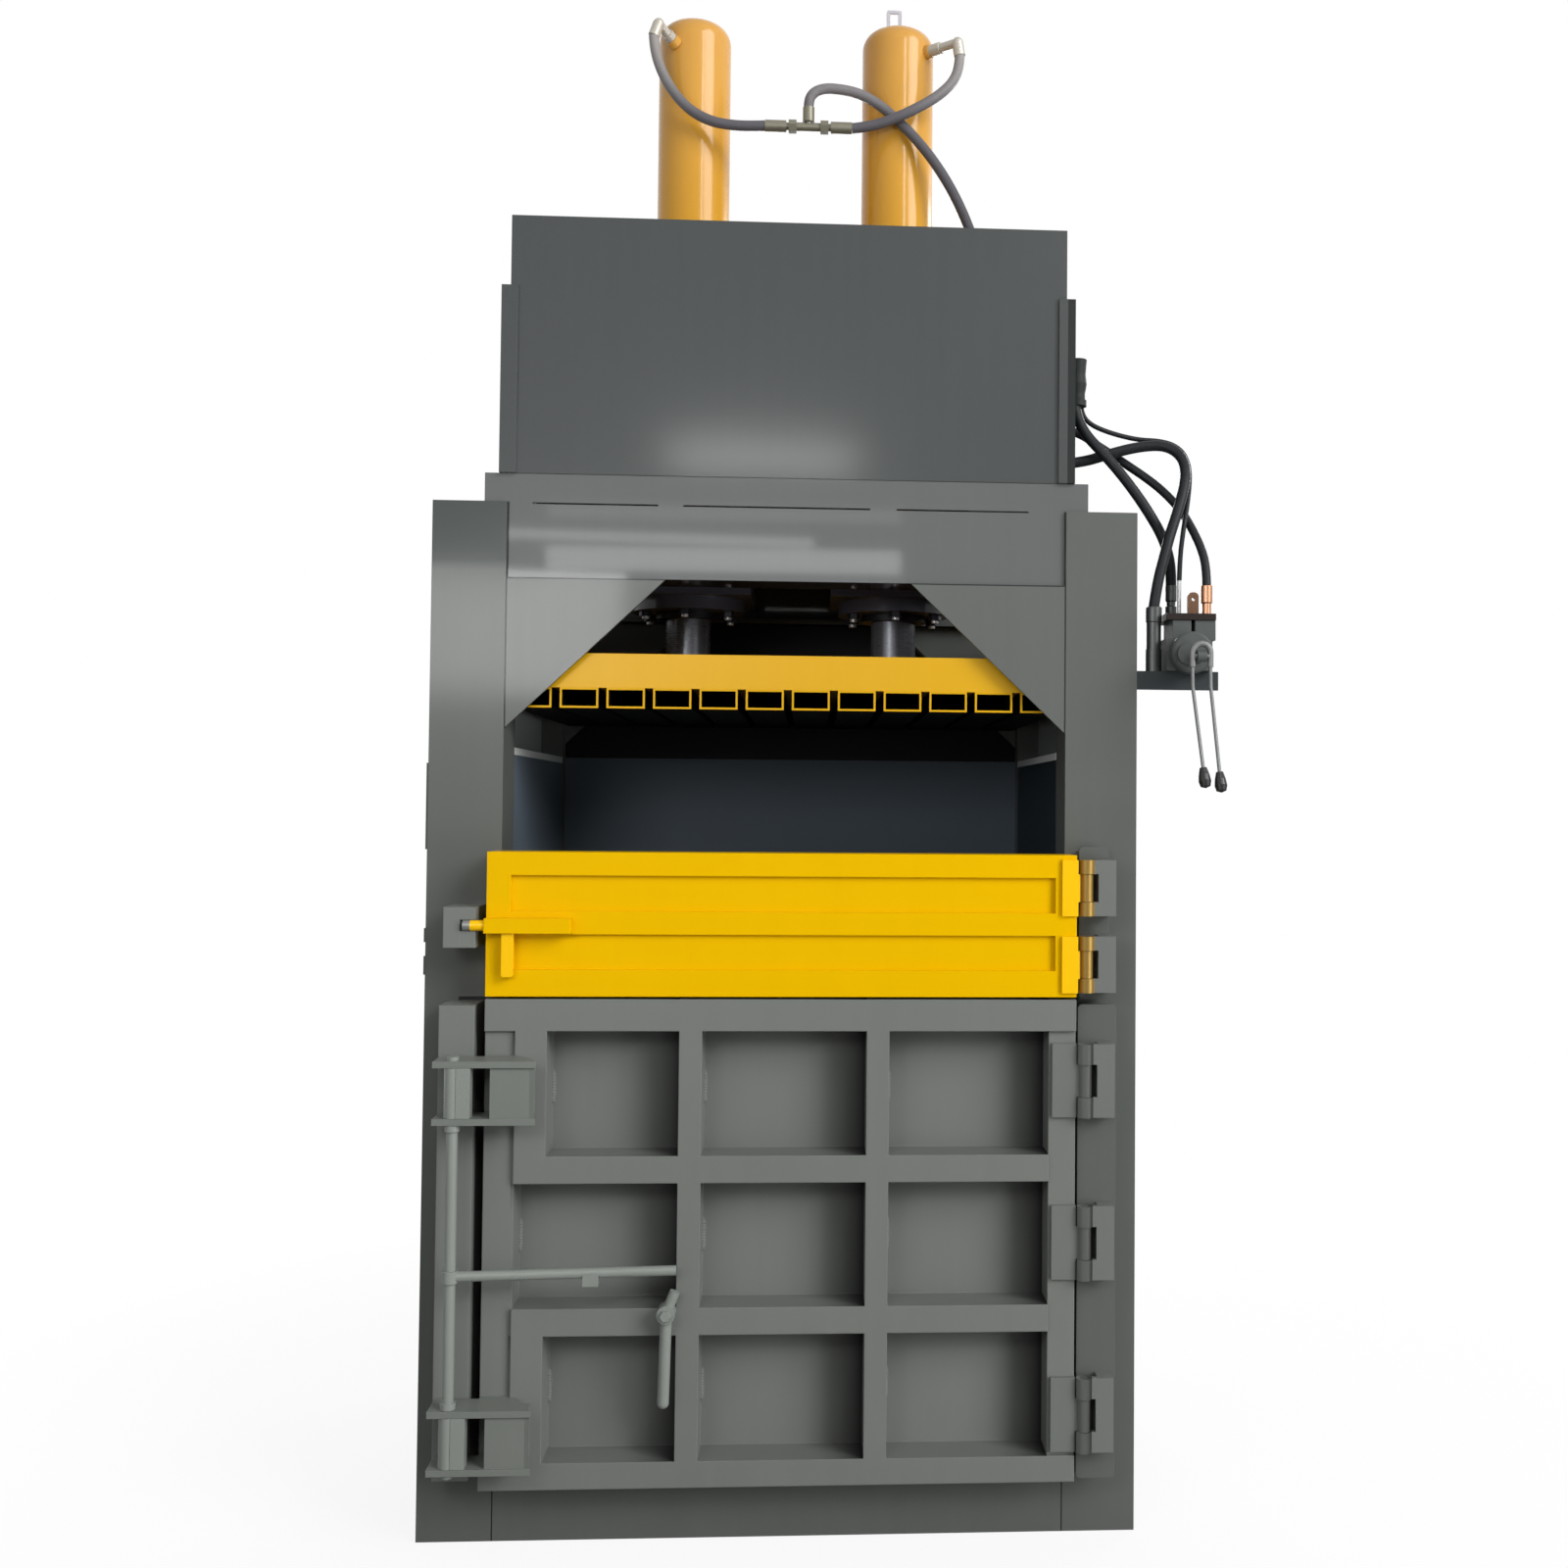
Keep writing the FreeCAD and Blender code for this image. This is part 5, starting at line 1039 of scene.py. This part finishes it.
@dataclass
class MotorTrim:
    """Cooling fins and a terminal box on the electric motor."""

    axis: Point = (0.435, 0.030, 2.181)
    fins: int = 36
    fin_from: float = 0.022
    fin_to: float = 0.212
    fin_thick: float = 0.0032
    fin_tall: float = 0.013
    fin_middle: float = 0.096
    bare_foot: float = -0.72
    bare_top: float = 0.86
    box: Point = (0.096, 0.084, 0.050)
    box_up: float = 0.112
    lid: Point = (0.102, 0.090, 0.008)
    lid_up: float = 0.139
    box_back: float = 0.10

    def build(self, wardrobe: Wardrobe) -> None:
        """Puts the fins round the drum, save at its foot and its top, where the terminal box stands.

        Args:
            wardrobe: where finishes are kept.
        """
        skin = Skin("motor_fins")
        fin = soft_block((0.0, (self.fin_from + self.fin_to) / 2, self.fin_middle),
                         (self.fin_thick, self.fin_to - self.fin_from, self.fin_tall), 0.3, 4)
        for number in range(self.fins):
            turn = 2 * math.pi * (number + 0.5) / self.fins
            if self.bare_foot <= math.sin(turn) <= self.bare_top:
                spin = np.array(Matrix.Rotation(turn - math.pi / 2, 3, "Y").transposed())
                skin.add(fin @ spin + np.array(self.axis))
        paint = wardrobe.plain(MOTOR_ENAMEL)
        skin.finish("frame", paint, "motor_paint")
        x, y, z = self.axis
        top = Skin("motor_terminal_box")
        top.add(soft_block((x, y + self.box_back, z + self.box_up), self.box, 0.16))
        top.add(soft_block((x, y + self.box_back, z + self.lid_up), self.lid, 0.16))
        top.finish("frame", paint, "motor_paint")


@dataclass
class TankTrim:
    """A sight glass on the oil tank's inner side."""

    face_x: float = -0.325
    middle_y: float = 0.18
    middle_z: float = 2.22
    glass: Point = (0.014, 0.026, 0.150)
    bolt_reach: float = 0.055
    bolt: Sequence[tuple[float, float]] = ((0.0, 0.0), (0.008, 0.0), (0.008, 0.010), (0.006, 0.012),
                                           (0.0, 0.012))

    def build(self, wardrobe: Wardrobe) -> None:
        """Mounts the sight glass and its two bolts.

        Args:
            wardrobe: where finishes are kept.
        """
        gauge = Skin("tank_sight_glass")
        gauge.add(soft_block((self.face_x + 0.006, self.middle_y, self.middle_z), self.glass, 0.25))
        for reach in (-self.bolt_reach, self.bolt_reach):
            gauge.add(turned(self.bolt, (self.face_x + 0.010, self.middle_y, self.middle_z + reach)))
        gauge.finish("frame", wardrobe.plain(TURNED_STEEL), "machined_steel")


@dataclass(frozen=True)
class Lamp:
    """One plain area lamp."""

    name: str
    place: Point
    aim: Point
    width: float
    height: float
    power: float

    def hang(self) -> None:
        """Adds the lamp, turned towards its aim."""
        data = bpy.data.lights.new(self.name, "AREA")
        data.shape = "RECTANGLE"
        data.size, data.size_y = self.width, self.height
        data.energy = self.power
        lamp = add_object(self.name, data)
        lamp.location = self.place
        lamp.rotation_euler = (Vector(self.aim) - Vector(self.place)).to_track_quat("-Z", "Y").to_euler()


@dataclass(frozen=True)
class Sun:
    """Even light from one side, soft because it comes from a wide patch of sky."""

    name: str
    towards: Point
    strength: float
    spread: float

    def hang(self) -> None:
        """Adds the sun, shining from the given direction."""
        data = bpy.data.lights.new(self.name, "SUN")
        data.energy = self.strength
        data.angle = self.spread
        lamp = add_object(self.name, data)
        lamp.rotation_euler = (-Vector(self.towards)).to_track_quat("-Z", "Y").to_euler()


@dataclass
class Studio:
    """The photographer's side of the scene: camera, lamps, white surroundings and floor."""

    eye: Point = (0.0504183, -3.60766, 1.4106748)
    yaw: float = 0.0578
    pitch: float = 0.0291
    roll: float = 0.0081
    focal_px: float = 1648.6026
    centre_px: tuple[float, float] = (924.6405, 776.4031)
    image_px: float = 1600.0
    daylight: float = 0.15
    floor_half: float = 40.0
    floor_drop: float = 0.001
    lamps: Sequence[Union[Lamp, Sun]] = field(default_factory=lambda: (
        Sun("day_sun", (1.2, -1.0, 0.75), 1.85, 0.5),
        Lamp("key_high", (2.7, -2.65, 3.0), (0.1, -0.5, 1.0), 1.8, 1.8, 22),
        Lamp("key_low", (3.0, -2.5, 0.6), (0.1, -0.5, 0.85), 1.5, 1.2, 40),
        Lamp("fill_lamp", (-2.6, -3.4, 1.5), (0.0, -0.4, 1.1), 1.8, 1.8, 15),
        Lamp("back_lamp", (0.2, 4.0, 3.0), (0.0, 0.3, 1.5), 2.0, 2.0, 115),
        Lamp("left_fill", (-3.2, 0.7, 1.2), (-0.7, 0.1, 1.1), 1.6, 1.6, 20),
        Lamp("rim_lamp", (3.0, 2.4, 3.4), (0.0, 0.2, 1.8), 1.4, 1.4, 50),
        Lamp("window_low", (-0.27, -3.0, 2.288), (-0.27, -0.43, 1.893), 1.26, 0.085, 2.5),
        Lamp("window_sill", (-0.27, -3.0, 2.195), (-0.27, -0.43, 1.857), 1.26, 0.018, 0.4),
        Lamp("window_high", (-0.27, -3.0, 2.455), (-0.27, -0.43, 1.99), 1.26, 0.05, 0.4),
        Lamp("window_side", (-1.01, -3.0, 2.02), (-0.55, -0.43, 1.755), 0.78, 0.44, 14.0),
        Lamp("window_line", (-0.5, -3.0, 2.363), (-0.25, -0.43, 1.937), 1.1, 0.035, 0.8),
        Lamp("window_top", (-0.14, -3.0, 2.66), (-0.06, -0.42, 2.10), 0.66, 0.07, 5.0),
        Lamp("window_tall", (1.27, -2.75, 3.95), (0.0, -0.03, 2.8), 0.32, 1.5, 18)))

    def aim_camera(self) -> None:
        """Places the camera from its turn, tilt and roll, and shifts its frame to the picture's centre."""
        ahead = Vector((math.sin(self.yaw) * math.cos(self.pitch), math.cos(self.yaw) * math.cos(self.pitch),
                        math.sin(self.pitch)))
        right = Vector((math.cos(self.yaw), -math.sin(self.yaw), 0.0))
        up = right.cross(ahead)
        across = right * math.cos(self.roll) + up * math.sin(self.roll)
        above = up * math.cos(self.roll) - right * math.sin(self.roll)
        data = bpy.data.cameras.new("photo_camera")
        data.sensor_width = 36.0
        data.lens = self.focal_px / self.image_px * data.sensor_width
        data.shift_x = -(self.centre_px[0] - self.image_px / 2) / self.image_px
        data.shift_y = (self.centre_px[1] - self.image_px / 2) / self.image_px
        camera = add_object("photo_camera", data)
        turn = Matrix((across, above, -ahead)).transposed()
        camera.matrix_world = Matrix.Translation(self.eye) @ turn.to_4x4()
        bpy.context.scene.camera = camera

    def light_world(self) -> None:
        """Soft daylight all round, seen as plain white by the camera and in reflections."""
        world = bpy.data.worlds.new("white_surroundings")
        bpy.context.scene.world = world
        world.use_nodes = True
        tree = world.node_tree
        tree.nodes.clear()
        path, seen, both, soft, white, mix, output = (
            tree.nodes.new("ShaderNode" + kind)
            for kind in ("LightPath", "Math", "Math", "Background", "Background", "MixShader", "OutputWorld"))
        seen.operation = both.operation = "ADD"
        both.use_clamp = True
        for background, strength in ((soft, self.daylight), (white, 1.0)):
            background.inputs[0].default_value = (1.0, 1.0, 1.0, 1.0)
            background.inputs[1].default_value = strength
        for start, end in ((path.outputs["Is Camera Ray"], seen.inputs[0]),
                           (path.outputs["Is Glossy Ray"], seen.inputs[1]),
                           (seen.outputs[0], both.inputs[0]),
                           (path.outputs["Is Transmission Ray"], both.inputs[1]),
                           (both.outputs[0], mix.inputs[0]),
                           (soft.outputs[0], mix.inputs[1]),
                           (white.outputs[0], mix.inputs[2]),
                           (mix.outputs[0], output.inputs[0])):
            tree.links.new(start, end)

    def lay_floor(self) -> None:
        """A wide pale floor that shows nearly white and keeps a faint shadow."""
        shade = Shade("pale_floor")
        seen = shade.node("ShaderNodeLightPath", output="Is Camera Ray")
        shade.set(Base_Color=shade.blend(seen, (0.3, 0.3, 0.3, 1.0), (0.85, 0.85, 0.85, 1.0)), Roughness=0.9,
                  Specular_IOR_Level=0.0)
        x, y, _ = shade.axes()
        away = (x * x + y * y).ramp(0.9, 5.0)
        glow = shade.node("ShaderNodeEmission", {}, {0: (1.0, 1.0, 1.0, 1.0), 1: 1.0})
        share = seen * (away * 0.12 + 0.88)
        lit = Term(shade, shade.surface.outputs[0])
        mixed = shade.node("ShaderNodeMixShader", {}, {0: share, 1: lit, 2: glow})
        output = next(n for n in shade.tree.nodes if n.type == "OUTPUT_MATERIAL")
        shade.tree.links.new(mixed.socket, output.inputs[0])
        half, low = self.floor_half, -self.floor_drop
        mesh = bpy.data.meshes.new("floor")
        mesh.from_pydata([(-half, -half, low), (half, -half, low), (half, half, low), (-half, half, low)], [],
                         [(0, 1, 2, 3)])
        floor = add_object("floor", mesh)
        mesh.materials.append(shade.material)

    def build(self) -> None:
        """Sets up the camera, the lamps, the surroundings and the floor."""
        scene = bpy.context.scene
        scene.view_settings.view_transform = "Standard"
        self.aim_camera()
        self.light_world()
        for lamp in self.lamps:
            lamp.hang()
        self.lay_floor()


def main() -> None:
    """Builds the scene in order."""
    logging.basicConfig(level=logging.INFO, format="%(name)s: %(message)s")
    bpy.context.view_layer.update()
    Studio().build()
    wardrobe = Wardrobe()
    wardrobe.dress_all()
    for hose in HOSES:
        hose.build(wardrobe)
    for part in (DoorWelds(), FeedPans(), MotorTrim(), TankTrim()):
        part.build(wardrobe)


if __name__ == "__main__":
    main()
